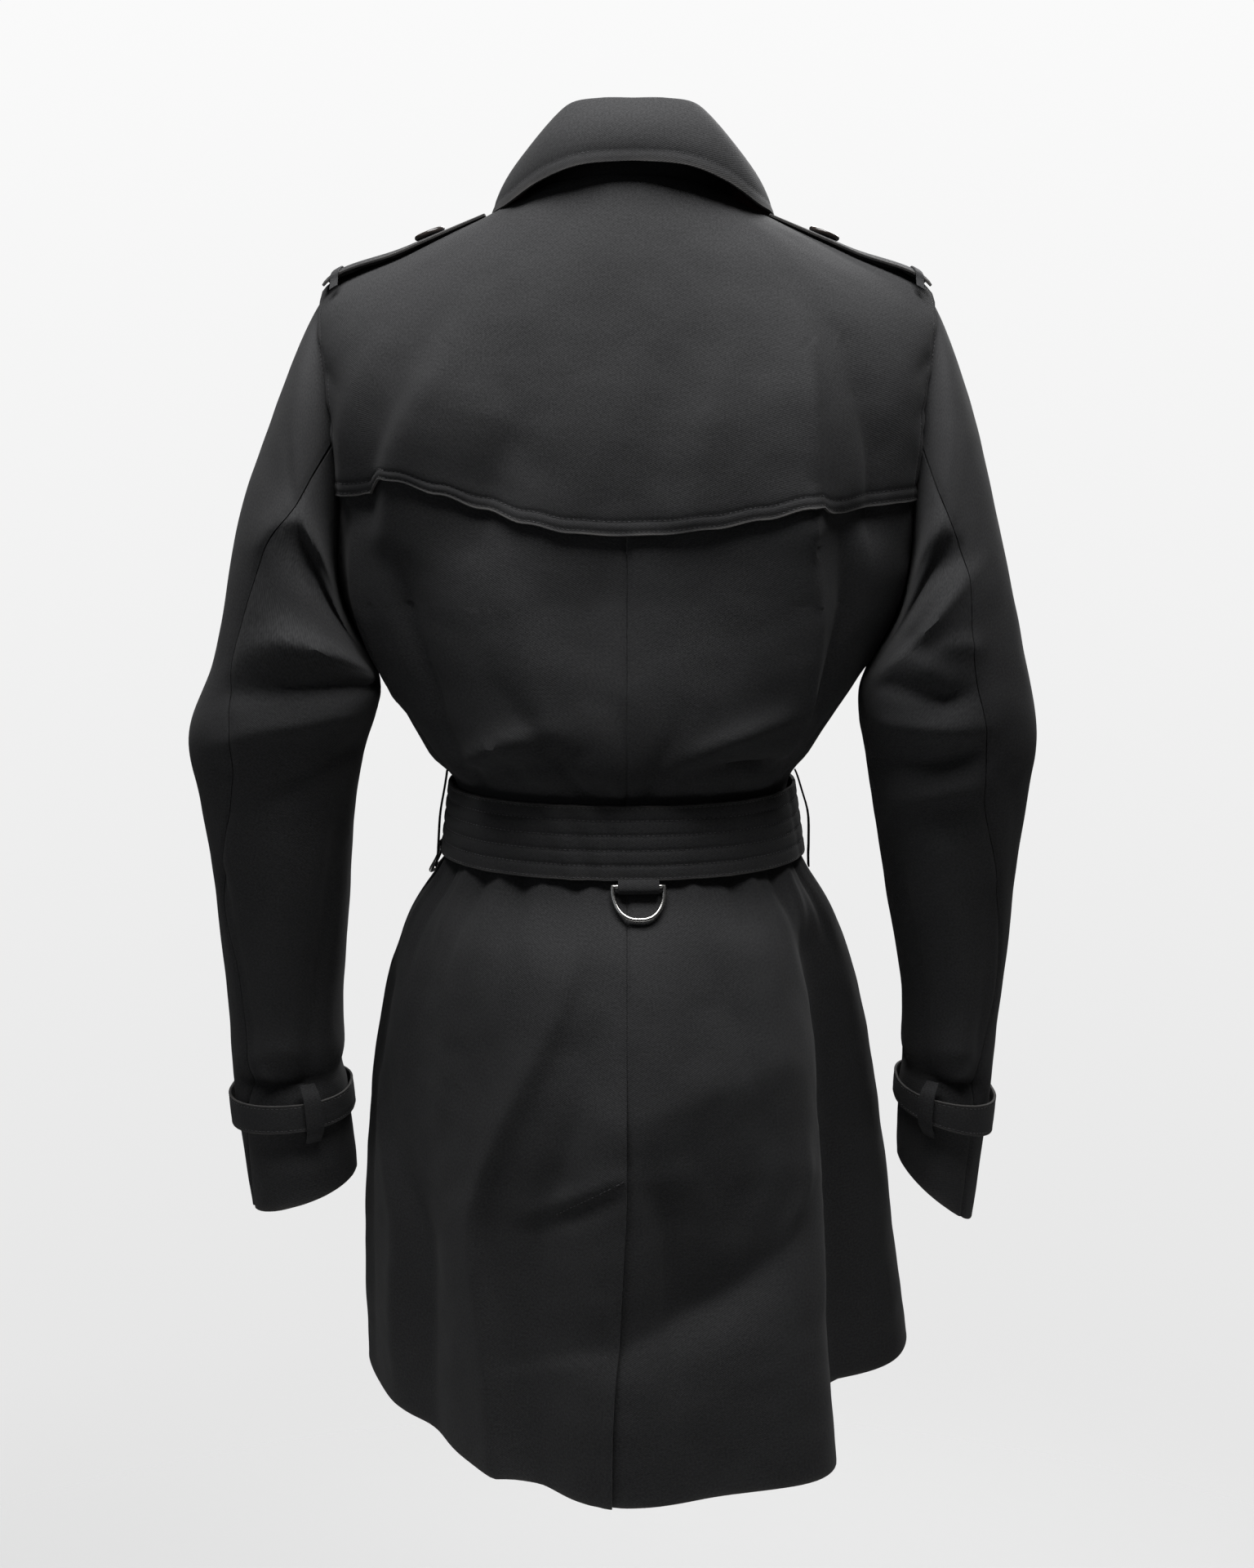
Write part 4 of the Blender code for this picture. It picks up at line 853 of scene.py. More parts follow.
def cloth(name, across, down, place, skip=None, free="", materials=None):
    """A wall of cloth: place(a, b, out) says where each corner of the grid across by down goes.

    free names the sides that aren't sewn in, where the cloth is paled by wear and a painted highlight: start,
    end, low and high.
    """
    columns, rows = len(across) - 1, len(down) - 1
    grid = [[place(a, b, 0.0) for a in across] for b in down]
    lines = [runs(row) for row in grid]
    middle = columns // 2
    drop = runs([row[middle] for row in grid])
    bm = bmesh.new()
    bmesh.ops.create_grid(bm, x_segments=columns, y_segments=rows, size=0.5)
    wear_and_highlight = bm.verts.layers.float.new("wear_and_highlight")
    seats = {}
    for corner in bm.verts:
        column = round((corner.co.x + 0.5) * columns)
        row = round((corner.co.y + 0.5) * rows)
        seats[corner] = (column, row)
        corner.co = grid[row][column]
        line = lines[row]
        gaps = {"start": line[column], "end": line[-1] - line[column]}
        gaps |= {"low": drop[row], "high": drop[-1] - drop[row]}
        # Painted highlight and wear: strongest at a free edge, fading within a few millimetres.
        corner[wear_and_highlight] = math.exp(-min([1.0, *(gaps[side] for side in free.split())]) / EDGE_WEAR_AND_HIGHLIGHT_REACH)
    weave_uv = bm.loops.layers.uv.new("weave")
    for face in bm.faces:
        for loop in face.loops:
            column, row = seats[loop.vert]
            loop[weave_uv].uv = (lines[row][column] - lines[row][middle], drop[row])
    row, column = rows // 2, middle
    out_way = place(across[column], down[row], 0.001) - grid[row][column]
    bm.normal_update()
    centre = min(bm.faces, key=lambda face: (face.calc_center_median() - grid[row][column]).length)
    if centre.normal.dot(out_way) < 0:
        bmesh.ops.reverse_faces(bm, faces=bm.faces[:])
    if skip:
        unwanted = []
        for face in bm.faces:
            cells = [seats[corner] for corner in face.verts]
            a = sum(across[column] for column, _ in cells) / len(cells)
            b = sum(down[row] for _, row in cells) / len(cells)
            if skip(a, b):
                unwanted.append(face)
        bmesh.ops.delete(bm, geom=unwanted, context="FACES")
    materials = materials or [gabardine()]
    piece = new_piece(name, bm, materials, nodes=[name])
    wall = piece.modifiers.new("wall", "SOLIDIFY")
    wall.thickness = kind_of(name).wall
    wall.offset = -1
    wall.use_quality_normals = True
    wall.material_offset = len(materials) - 1
    edge = piece.modifiers.new("turned_edge", "BEVEL")
    edge.width = wall.thickness * EDGE_SHARE
    edge.segments = 2
    edge.limit_method = "ANGLE"
    edge.angle_limit = math.radians(50)
    edge.harden_normals = True
    area = sum(face.area for face in piece.data.polygons)
    declare_sheet(max(line[-1] for line in lines), drop[-1], area)


Kind = namedtuple("Kind", "start wall held")
# The thickness of each piece's wall and how the piece is held, by the start of its name
KINDS = (
    Kind("belt_loop", 0.0013, "stretched"),
    Kind("belt", 0.0026, "stretched"),
    Kind("cuff_strap", 0.0018, "stretched"),
    Kind("cuff_loop", 0.0012, "stretched"),
    Kind("epaulette_keeper", 0.0010, "stretched"),
    Kind("epaulette", 0.0020, "laid"),
    Kind("d_ring_loop", 0.0009, "folded"),
    Kind("lapel", CLOTH, "folded"),
    Kind("collar", CLOTH, "folded"),
    Kind("", CLOTH, "hung"),
)


def kind_of(name):
    return next(kind for kind in KINDS if name.startswith(kind.start))


def declare_sheet(width, length, area):
    """Round what the piece measures laid flat; the values are not kept or used."""
    width, length = max(0.01, round(width, 3)), max(0.01, round(length, 3))
    area = min(round(area, 4), width * length)


Route = namedtuple("Route", "path start end")


def stitch_rows(name, routes):
    """Topstitches laid along routes: path(t, out) is a point of a row, for t from start to end."""
    size = sizes()
    bm = bmesh.new()
    for route in routes:
        reach = route.end - route.start
        places = [route.start + reach * step / ROUTE_STEPS for step in range(ROUTE_STEPS + 1)]
        line = runs([route.path(t, 0.0) for t in places])
        stitches = max(1, int(line[-1] / size.stitch_pitch))
        span = 0
        for stitch in range(stitches):
            here = (stitch + 0.5) * line[-1] / stitches
            while span < ROUTE_STEPS - 1 and line[span + 1] < here:
                span += 1
            share = (here - line[span]) / max(1e-9, line[span + 1] - line[span])
            t = places[span] + (places[span + 1] - places[span]) * share
            reach = (places[span + 1] - places[span]) / max(1e-9, line[span + 1] - line[span])
            reach *= size.stitch_length / 2
            point = route.path(t, 0.0)
            along = (route.path(t + reach, 0.0) - route.path(t - reach, 0.0)).normalized()
            up = (route.path(t, 0.001) - point).normalized()
            beside = up.cross(along).normalized()
            up = along.cross(beside)
            turn = Matrix((along, beside, up)).transposed().to_4x4()
            shape = Matrix.Diagonal((size.stitch_length / 2, size.thread / 2, size.thread / 2.6, 1))
            matrix = Matrix.Translation(point + up * size.thread * 0.12) @ turn @ shape
            bmesh.ops.create_icosphere(bm, subdivisions=1, radius=1.0, matrix=matrix)
    return new_piece(name, bm, [stitching_thread()])


def line_dip(distances, distance, depth=0.0008, width=0.0014):
    """How far rows of topstitching at these distances from an edge draw the cloth in."""
    return -sum(depth * math.exp(-(((distance - line) / width) ** 2)) for line in distances)


# ---------------------------------------------------------------- the body

HALF_BACK = 0.290
HALF_FRONT = 0.330
ARMHOLE_RUN, SHOULDER_RUN = 0.19, 0.13
NEAR_SEAM = (0.0012, 0.0026, 0.0048)
NEAR_EDGE = (0.0010, 0.0030, 0.0065, 0.0085, 0.0105)
# The fronts' seam allowance, as shares of a front's width, and how far under the back it lies
ALLOWANCE, ALLOWANCE_DROP = (-0.012, -0.0006), 0.0022


def body_rows():
    """Levels of the body's rows, from the hem to the neck."""
    cell = sizes().cell
    bottom, armpit = RINGS[0].back_z, RINGS[ARMPIT].back_z
    count = round((armpit - bottom) / cell)
    levels = [0.0, 0.02, 0.05]
    levels += [level_at(bottom + (armpit - bottom) * step / count) for step in range(1, count)]
    count = round(ARMHOLE_RUN / cell)
    turns = (math.cos(math.pi * step / count) for step in range(count))
    levels += [ARMPIT + (SHOULDER - ARMPIT) * (1 - turn) / 2 for turn in turns]
    count = round(SHOULDER_RUN / cell)
    return levels + [SHOULDER + (NECK - SHOULDER) * step / count for step in range(count + 1)]


def vent_share(height):
    """How far the two vent layers have parted at this height."""
    return smooth((VENT_TOP + 0.09 - height) / 0.08)


def vent_side(angle):
    """1 beside the vent and 0 further round, where the layers are one cloth again."""
    return 1 - smooth((angle - 16) / 20)


def back_left_point(share, level, out):
    """share runs from the centre seam to the side seam, and armhole, of the upper layer."""
    height = ring_at(level).back_z
    outer = seam_angle(level) - half_seam(level)
    angle = half_seam(level) + (outer - half_seam(level)) * share
    seam = share * HALF_BACK
    angle += VENT_SWING * smooth((VENT_TOP - height) / 0.2) * (1 - share)
    lift = LAP_LIFT * vent_share(height) * vent_side(angle)
    below = smooth((VENT_TOP - height) / 0.01)
    lift += seam_dip(seam) * (1 - below) + line_dip((sizes().margin,), seam) * below
    lift += seam_dip((1 - share) * HALF_BACK)
    return body_point(angle, level, out + lift)


def back_right_point(share, level, out):
    """share below 0 is the vent's underlap, down to -1."""
    height = ring_at(level).back_z
    outer = seam_angle(level) - half_seam(level)
    angle = half_seam(level) + (outer - half_seam(level)) * max(0.0, share)
    angle += min(0.0, share) * math.degrees(UNDERLAP / ring_at(level).left)
    lift = -LAP_LIFT * vent_share(height) * vent_side(angle)
    if share >= 0:
        lift += seam_dip(share * HALF_BACK) * (1 - smooth((VENT_TOP - height) / 0.01))
        lift += seam_dip((1 - share) * HALF_BACK)
    return body_point(-angle, level, out + lift)


def front_edge_angle(level):
    """The angle of a front's free edge, past the centre front, and of the roll line above it."""
    ring = ring_at(level)
    up = max(0.0, (ring.front_z - BREAK_HEIGHT) / (RINGS[NECK].front_z - BREAK_HEIGHT))
    past_centre = FRONT_LAP + (-0.060 - FRONT_LAP) * up
    return 180 + math.degrees(math.asin(past_centre / min(ring.left, ring.right)))


def lap_lift(angle, level):
    """Half the step between the two fronts where they lap, none near the neck."""
    height = ring_at(level).front_z
    return LAP_LIFT * smooth((angle - 114) / 18) * (1 - smooth((height + 0.10) / 0.04))


def front_surface(sign, angle, level, out):
    """A point over a front: the wearer's right one (sign -1) laps over the left one."""
    return body_point(sign * angle, level, out - sign * lap_lift(angle, level))


def front_point(sign, share, level, out):
    """share below 0 is the seam allowance, under the back."""
    start = 180 - seam_angle(level) + half_seam(level)
    end = front_edge_angle(level)
    lift = seam_dip(share * HALF_FRONT) + line_dip((sizes().margin,), (1 - share) * HALF_FRONT)
    if share < 0:
        out -= ALLOWANCE_DROP
    return front_surface(sign, start + (end - start) * share, level, out + lift)


def build_body():
    """The two backs, the two fronts and their rows of stitches."""
    rows = body_rows()
    across = steps(HALF_BACK, NEAR_SEAM, NEAR_SEAM)
    cloth("back_left", across, rows, back_left_point, free="low")
    underlap = [-1.0, -0.97] + [-step / 10 for step in range(9, 0, -1)]

    def above_vent(a, b):
        return a < 0 and ring_at(b).back_z > VENT_TOP

    cloth("back_right", underlap + across, rows, back_right_point, skip=above_vent, free="low")
    across = [*ALLOWANCE, *steps(HALF_FRONT, NEAR_SEAM, NEAR_EDGE)]
    margin = sizes().margin
    vent_top, slant_top, slant_low = (level_at(VENT_TOP - drop) for drop in (0, 0.003, 0.034))

    def slant(t, out):
        return back_left_point(0.004 + 0.172 * t, slant_top + (slant_low - slant_top) * t, out)

    routes = [
        Route(lambda t, out: back_left_point(margin / HALF_BACK, t, out), 0.02, vent_top - 0.06),
        Route(slant, 0.0, 1.0),
    ]
    for side, sign, top in (("left", 1, 12.4), ("right", -1, 10.4)):
        place = partial(front_point, sign)
        skip = lambda a, b: a < 0 and b > ARMPIT - 0.3
        cloth(f"front_{side}", across, rows, place, skip=skip, free="low end")
        edge = 1 - margin / HALF_FRONT
        routes.append(Route(lambda t, out, place=place: place(edge, t, out), 0.02, top))
    stitch_rows("body_topstitching", routes)


LapelCut = namedtuple("LapelCut", "side sign first_angle first_level roll_level")
# first is the lapel's lowest outer corner and roll the lowest point of its roll line.
LAPELS = (LapelCut("right", -1, 192.0, 10.75, 10.45), LapelCut("left", 1, 170.0, 11.75, 12.55))
LAPEL_TIP, GORGE_LEVEL = (148.0, 12.55), 14.2
LAPEL_WIDTH, LAPEL_HEIGHT, LAPEL_SPRING = 0.09, 0.17, 0.0012


def lapel_point(cut, across, up, out):
    """across runs from the roll line to the outer edge, up from the lapel's foot to the gorge."""
    inner_level = cut.roll_level + (GORGE_LEVEL - cut.roll_level) * up
    inner_angle = front_edge_angle(inner_level) - 0.6
    outer_level = cut.first_level + (LAPEL_TIP[1] - cut.first_level) * up
    outer_angle = cut.first_angle + (LAPEL_TIP[0] - cut.first_angle) * up
    level = inner_level + (outer_level - inner_level) * across
    angle = inner_angle + (outer_angle - inner_angle) * across
    spring = LAPEL_SPRING * math.sin(math.pi * across)
    dip = line_dip((sizes().margin,), (1 - across) * LAPEL_WIDTH)
    return front_surface(cut.sign, angle, level, out + LAPEL_LIFTS[cut.side] + spring + dip)


def build_lapels():
    """Each lapel lies on its front, between the roll line and an outer edge that rises to its tip."""
    routes = []
    edge = 1 - sizes().margin / LAPEL_WIDTH
    for cut in LAPELS:
        place = partial(lapel_point, cut)
        across, up = steps(LAPEL_WIDTH, (), NEAR_EDGE), steps(LAPEL_HEIGHT, (), NEAR_EDGE)
        cloth(f"lapel_{cut.side}", across, up, place, free="end high low")
        routes.append(Route(lambda t, out, place=place: place(edge, t, out), 0.03, 0.96))
        routes.append(Route(lambda t, out, place=place: place(t, 0.955, out), 0.06, edge))
    stitch_rows("lapel_topstitching", routes)


# ---------------------------------------------------------------- the storm flap

FLAP_DROP = 0.270
FLAP_HALF = 0.215
FLAP_ROWS = (0.0020, 0.0090)
FLAP_REACH = 64.5
PUCKER_DEPTH, PUCKER_WIDTH = 0.0016, 0.013


@lru_cache(maxsize=4096)
def flap_edge_level(table, angle):
    """The level at which this angle has the height that the table gives."""
    height = read_table(table, angle)
    return halve(ARMPIT, SHOULDER, 24, lambda level: smooth_point(angle, level).z < height)


def flap_point(across, up, out):
    """across runs from -1 to 1 between the armholes, up from the loose edge to the neck seam."""
    around = round(across * FLAP_REACH, 4)
    even = flap_edge_level(FLAP_EVEN, around)
    level = even + (NECK - even) * up + (flap_edge_level(FLAP_EDGE, around) - even) * (1 - up) ** 3
    angle = across * (seam_angle(level) - 2 * half_seam(level))
    hang = smooth((13.3 - level) / 1.5) * math.cos(math.pi / 2 * abs(across) ** 3)
    lift = FLAP_SEAM_LIFT + (FLAP_EDGE_LIFT - FLAP_SEAM_LIFT) * hang
    lift += line_dip(FLAP_ROWS, up * FLAP_DROP)
    lift += line_dip((sizes().margin,), (1 - abs(across)) * FLAP_HALF)
    lift += seam_dip((1 - abs(across)) * FLAP_HALF, 0.0008) + seam_dip((1 - up) * FLAP_DROP, 0.0008)
    pucker = math.exp(-(((1 - abs(across)) * FLAP_HALF / PUCKER_WIDTH) ** 2))
    lift += PUCKER_DEPTH * pucker * noise.noise(Vector((across * 9, 0.3, level * 6)))
    return body_point(angle, level, out + lift)


def build_storm_flap():
    """The flap over the upper back, stitched along its loose edge and its sides."""
    near = (0.0010, 0.0026, 0.0050, 0.0072, 0.0085, 0.0100, 0.0125)
    across = [2 * a - 1 for a in steps(2 * FLAP_HALF, near, near, 0.0036)]
    up = steps(FLAP_DROP, (0.0008, 0.0020, 0.0034, 0.0060, 0.0078, 0.0090, 0.0104, 0.0130), NEAR_SEAM)
    cloth("storm_flap", across, up, flap_point, free="low")
    edge = 1 - sizes().margin / FLAP_HALF
    rows = [line / FLAP_DROP for line in FLAP_ROWS]
    routes = [Route(lambda t, out, row=row: flap_point(t, row, out), -edge, edge) for row in rows]
    for side in (edge, -edge):
        routes.append(Route(lambda t, out, side=side: flap_point(side, t, out), 0.035, 0.70))
    stitch_rows("storm_flap_topstitching", routes)


# ---------------------------------------------------------------- the collar

LEAF_DROP, LEAF_SIDE, STAND_WIDE, STAND_HIGH = 0.060, 0.17, 0.34, 0.040
# The leaf rolls over the stand through this turn on this radius, within this share of its drop.
ROLL_TURN, ROLL_RADIUS, ROLL_SHARE = 150, 0.0022, 0.12


def collar_station(place):
    """The collar's section at a place from -1 (the wearer's right end) to 1."""
    seat, *rest = through(COLLAR, abs(place) * (len(COLLAR) - 1))
    sign = 1 if place >= 0 else -1
    section = CollarStation(seat * sign, *rest)
    fold_x = section.fold_x * sign + COLLAR_SHIFT
    return section._replace(fold_x=fold_x, edge_x=section.edge_x * sign + COLLAR_SHIFT)


def stand_surface(place, up):
    section = collar_station(place)
    seat = body_point(section.seat, NECK) + Vector((0, 0, 2 * SEAM))
    top = Vector((section.fold_x, section.fold_y, section.fold_z - STAND_GAP))
    return seat + (top - seat) * up


def leaf_surface(place, down):
    """The leaf from its roll over the stand (down below 0) to its edge (down 1)."""
    section = collar_station(place)
    fold = Vector((section.fold_x, section.fold_y, section.fold_z))
    edge = Vector((section.edge_x, section.edge_y, section.edge_z))
    level_way = Vector((edge.x - fold.x, edge.y - fold.y, 0)).normalized()
    out = level_way + Vector((0, 0, 0.6))
    if down >= 0:
        point = fold + (edge - fold) * down + out * LEAF_BULGE * math.sin(math.pi * min(1.0, down))
        round_top = math.exp(-down / 0.05)
        return point + (level_way * 0.0016 + Vector((0, 0, -0.0006))) * (1 - round_top)
    turn = min(1.0, -down / ROLL_SHARE) * math.radians(ROLL_TURN)
    return fold + (level_way * -math.sin(turn) + Vector((0, 0, math.cos(turn) - 1))) * ROLL_RADIUS


def build_collar():
    """The stand round the neck and the leaf that folds down over it."""
    def stand(place, up, out):
        normal = outward(stand_surface, place, up, 0.01, 0.02)
        return stand_surface(place, up) + normal * (out + seam_dip(up * 0.045, 0.0008))

    def leaf(place, down, out):
        normal = -outward(leaf_surface, place, down, 0.006, 0.004)
        margin = sizes().margin
        dip = line_dip((margin,), (1 - down) * LEAF_DROP) + line_dip((margin,), (1 - abs(place)) * LEAF_SIDE)
        return leaf_surface(place, down) + normal * (out + dip)

    wide = [2 * a - 1 for a in steps(STAND_WIDE, NEAR_EDGE, NEAR_EDGE)]
    cloth("collar_stand", wide, steps(STAND_HIGH, NEAR_SEAM), stand)
    down = [step / 50 for step in range(-6, 3)] + [0.07]
    down += [0.07 + 0.93 * place for place in steps(LEAF_DROP, (), NEAR_EDGE)[1:]]
    materials = [gabardine(), undercollar_cloth()]
    cloth("collar_leaf", wide, down, leaf, free="start end high", materials=materials)
    line = 1 - sizes().margin / LEAF_DROP
    side = 1 - sizes().margin / LEAF_SIDE
    routes = [Route(lambda t, out: leaf(t, line, out), -side, side)]
    for sign in (1, -1):
        routes.append(Route(lambda t, out, sign=sign: leaf(sign * side, t, out), 0.06, line))
    stitch_rows("collar_topstitching", routes)


# ---------------------------------------------------------------- the sleeves

ARM_LENGTH, HEAD_ALLOWANCE = 0.62, 0.004
HALF_WIDTHS = {"upper": 0.205, "under": 0.140}


def sleeve_seam(side, place):
    """The angle of the sleeve's back seam."""
    return through([(angle,) for angle in BACK_SEAMS[side]], place)[0]


def sleeve_piece_point(side, piece, share, ring, out):
    """A point of an upper or under sleeve: share runs across it. ring below 0 is the head's allowance."""
    width = HALF_WIDTHS[piece]
    gap = 0.3 + 0.8 * max(0.0, 1 - ring / 1.8)
    seam = sleeve_seam(side, ring)
    start, end = FRONT_SEAM + gap, seam - gap
    if piece == "under":
        start, end = seam + gap, FRONT_SEAM + 360 - gap
    dip = seam_dip(share * width) + seam_dip((1 - share) * width) + seam_dip(ring * 0.05, 0.0008, 0.003)
    inward = Vector((0, 0, 0))
    if ring < 0:
        inward.x = -HEAD_ALLOWANCE if side == "left" else HEAD_ALLOWANCE
        dip -= 0.0016
    return sleeve_point(side, start + (end - start) * share, max(0.0, ring), out + dip) + inward


def build_sleeves():
    """An upper and an under sleeve on each side, stitched along the armhole."""
    routes = []
    rings = [-0.05] + [11 * step for step in steps(ARM_LENGTH, NEAR_SEAM, (0.0010, 0.0030))]
    for side in ("left", "right"):
        for piece, width in HALF_WIDTHS.items():
            place = partial(sleeve_piece_point, side, piece)
            cloth(f"sleeve_{piece}_{side}", steps(width, NEAR_SEAM, NEAR_SEAM), rings, place, free="high")
        route = Route(lambda t, out, side=side: sleeve_point(side, t, 0.15, out - 0.0003), -72, 62)
        routes.append(route)
    stitch_rows("sleeve_head_topstitching", routes)


STRAP_HIGH, STRAP_LOW = 9.47, 9.90
STRAP_LIFT, STRAP_TAIL_LIFT = 0.0042, 0.0066
STRAP_START, STRAP_END = -115.0, 262.0
STRAP_HEIGHT = 0.0245
STRAP_ROWS = (0.0025, 0.0220)
STRAP_LENGTH, STRAP_SAG = 0.330, 0.003
LOOP_HIGH, LOOP_LOW, LOOP_MIDDLE, LOOP_WIDE, LOOP_LONG, CUFF_RADIUS = 9.20, 10.12, 116, 0.0115, 0.055, 0.047
# How far the cuff loop stands off the sleeve, from its upper end to its lower one
LOOP_RISES = tuple((rise,) for rise in (0.0024, 0.0082, 0.0100, 0.0102, 0.0100, 0.0082, 0.0024))


def strap_lift(angle):
    """The cuff strap's outer face over the sleeve: it sags off the back and its tail laps its start."""
    sag = STRAP_SAG * max(0.0, math.sin(math.radians(angle)))
    tail = smooth((angle - (STRAP_START + 352)) / 12)
    return STRAP_LIFT + sag + (STRAP_TAIL_LIFT - STRAP_LIFT) * tail


def cuff_point(side, angle, place, out):
    """A point over the sleeve's smooth form near the cuff, clear of its folds."""
    point, normal = arm_seat(side, round(angle, 5), round(place, 5))
    return point + normal * out


def cuff_strap_point(side, turn, down, out):
    angle = STRAP_START + (STRAP_END - STRAP_START) * turn
    place = STRAP_HIGH + (STRAP_LOW - STRAP_HIGH) * down
    dip = line_dip(STRAP_ROWS, down * STRAP_HEIGHT, 0.0003, 0.0010)
    return cuff_point(side, angle, place, out + strap_lift(angle) + dip)


def cuff_loop_point(side, across, down, out):
    angle = LOOP_MIDDLE + math.degrees(LOOP_WIDE / 2 / CUFF_RADIUS) * (2 * across - 1)
    place = LOOP_HIGH + (LOOP_LOW - LOOP_HIGH) * down
    return cuff_point(side, angle, place, out + through(LOOP_RISES, down * 6)[0])


def build_cuffs():
    """A strap round each cuff, through its loop."""
    routes = []
    near = (0.0008, 0.0018, 0.0025, 0.0034)
    down = steps(STRAP_HEIGHT, near, near, 0.004)
    for side in ("left", "right"):
        strap, loop = partial(cuff_strap_point, side), partial(cuff_loop_point, side)
        cloth(f"cuff_strap_{side}", steps(STRAP_LENGTH), down, strap, free="low high start end")
        cloth(f"cuff_loop_{side}", steps(LOOP_WIDE, cell=0.002), steps(LOOP_LONG, cell=0.003), loop)
        for row in (line / STRAP_HEIGHT for line in STRAP_ROWS):
            routes.append(Route(lambda t, out, strap=strap, row=row: strap(t, row, out), 0.01, 0.99))
    stitch_rows("cuff_strap_topstitching", routes)


# ---------------------------------------------------------------- the belt and its rings

BELT_START, BELT_END = -172.0, 238.0
BELT_HEIGHT = BELT_TOP - BELT_LOW
BELT_ROWS = tuple(BELT_HEIGHT * share for share in (0.2, 0.4, 0.6, 0.8))
BELT_EDGE_ROWS = (0.0018, BELT_HEIGHT - 0.0018)
Ruck = namedtuple("Ruck", "middle depth half_width lean")
# Where the belt is rucked: angles but for the depth, in millimetres, and a lean from lower to upper edge
BELT_RUCKS = [
    Ruck(middle, depth / 1000, half_width, lean)
    for middle, depth, half_width, lean in (
        (24, -1, 1.6, 5), (19, 0.9, 1.8, 6), (14, -1.2, 1.7, 7), (9, 0.9, 1.6, 6), (4, -0.9, 1.5, 5),
        (-24, -0.8, 2, -7), (-36, 0.6, 2.4, -6), (48, 0.6, 2.6, 5), (-70, -0.8, 2.2, 4),
        (82, -0.8, 2.4, -4), (120, 0.8, 3, 5), (-118, -0.8, 3, -5), (160, -0.7, 3, 4),
    )
]


def belt_lift(angle):
    return BELT_LIFT + (BELT_TAIL_LIFT - BELT_LIFT) * smooth((angle - 165) / 20)


@lru_cache(maxsize=20000)
def belt_seat(angle):
    low = smooth_point(angle, level_at(BELT_LOW))
    high = smooth_point(angle, level_at(BELT_TOP))
    normal = outward(smooth_point, angle, level_at(-0.44), 0.5, 0.02)
    normal.z = 0
    return low, high, normal.normalized()


def belt_point(angle, up, out):
    """A point over the belt's line, without the body's folds. up runs from its lower edge."""
    low, high, normal = belt_seat(round(angle, 4))
    return low + (high - low) * up + normal * out


def belt_ruck(angle, up):
    """How far the rucks stand off the belt."""
    total = 0.0
    for middle, depth, width, lean in BELT_RUCKS:
        away = (angle - middle - lean * (up - 0.5)) / width
        total += depth * math.exp(-away * away)
    return total


def belt_face(turn, up, out):
    """turn runs from the belt's buckle round to its tail, up across it."""
    angle = BELT_START + (BELT_END - BELT_START) * turn
    lift = belt_lift(angle) + belt_ruck(angle, up)
    lift += line_dip(BELT_ROWS, up * BELT_HEIGHT, 0.0009, 0.0013)
    lift += line_dip(BELT_EDGE_ROWS, up * BELT_HEIGHT, 0.0003, 0.0010)
    return belt_point(angle, up, out + lift)


BELT_LENGTH, BELT_LOOP_WIDE, BELT_LOOP_LONG, BELT_LOOP_TURN = 1.02, 0.009, 0.075, 2.1
LoopRow = namedtuple("LoopRow", "up lift bow")
BELT_LOOP = (
    LoopRow(1.13, 0.0090, -0.35),
    LoopRow(1.03, 0.0082, 0.1),
    LoopRow(0.85, 0.0078, 0.5),
    LoopRow(0.50, 0.0078, 1.0),
    LoopRow(0.10, 0.0078, 0.5),
    LoopRow(-0.10, 0.0080, 0.1),
    LoopRow(-0.28, 0.0090, -0.35),
)


def belt_loop_point(sign, bow, across, down, out):
    up, lift, bowed = through(BELT_LOOP, down * (len(BELT_LOOP) - 1))
    angle = sign * (90 + BELT_LOOP_TURN * (2 * across - 1))
    return belt_point(angle, up, out + lift + bowed * bow)


def build_belt():
    """The belt in its stitched rows, and a loop on each side."""
    rows = {BELT_HEIGHT}
    for inset in (0.0007, 0.0018, 0.0030):
        rows |= {inset, BELT_HEIGHT - inset}
    for line in BELT_ROWS:
        rows |= {line + beside for beside in (-0.0030, -0.0014, 0, 0.0014, 0.0030)}
    up = [0.0] + [row / BELT_HEIGHT for row in sorted(rows)]
    cloth("belt", steps(BELT_LENGTH, cell=0.0040), up, belt_face, free="low high start end")
    lines = [line / BELT_HEIGHT for line in BELT_ROWS + BELT_EDGE_ROWS]
    stitch_rows(
        "belt_topstitching",
        [Route(lambda t, out, line=line: belt_face(t, line, out), 0.004, 0.996) for line in lines],
    )
    across, down = steps(BELT_LOOP_WIDE, cell=0.0018), steps(BELT_LOOP_LONG, cell=0.0035)
    for side, sign, bow in (("left", 1, 0.0020), ("right", -1, 0.0046)):
        cloth(f"belt_loop_{side}", across, down, partial(belt_loop_point, sign, bow))


HangerRow = namedtuple("HangerRow", "height lift")
HANGER = (
    HangerRow(-0.4460, 0.0022),
    HangerRow(-0.4560, 0.0022),
    HangerRow(-0.4640, 0.0022),
    HangerRow(-0.4700, 0.0020),
    HangerRow(-0.4728, 0.0030),
    HangerRow(-0.4736, 0.0050),
    HangerRow(-0.4722, 0.0072),
    HangerRow(-0.4690, 0.0080),
    HangerRow(-0.4656, 0.0076),
)
BAR_HEIGHT, BAR_LIFT = -0.4696, 0.0047
RING_HALF_WIDTH, RING_DROP, WIRE = 0.0158, 0.0205, 0.0016
WAIST_RADIUS, HANGER_WIDTH, RING_LEAN = 0.118, 0.025, 0.0014


def hanger_surface(middle, across, along):
    """The fabric loop that goes round the ring's bar: across its width and along it, row by row."""
    height, lift = through(HANGER, along)
    angle = middle + math.degrees(HANGER_WIDTH / 2 / WAIST_RADIUS) * (2 * across - 1)
    level = level_at(round(height, 6))
    return smooth_point(angle, level) + outward(smooth_point, angle, level, 0.5, 0.02) * lift


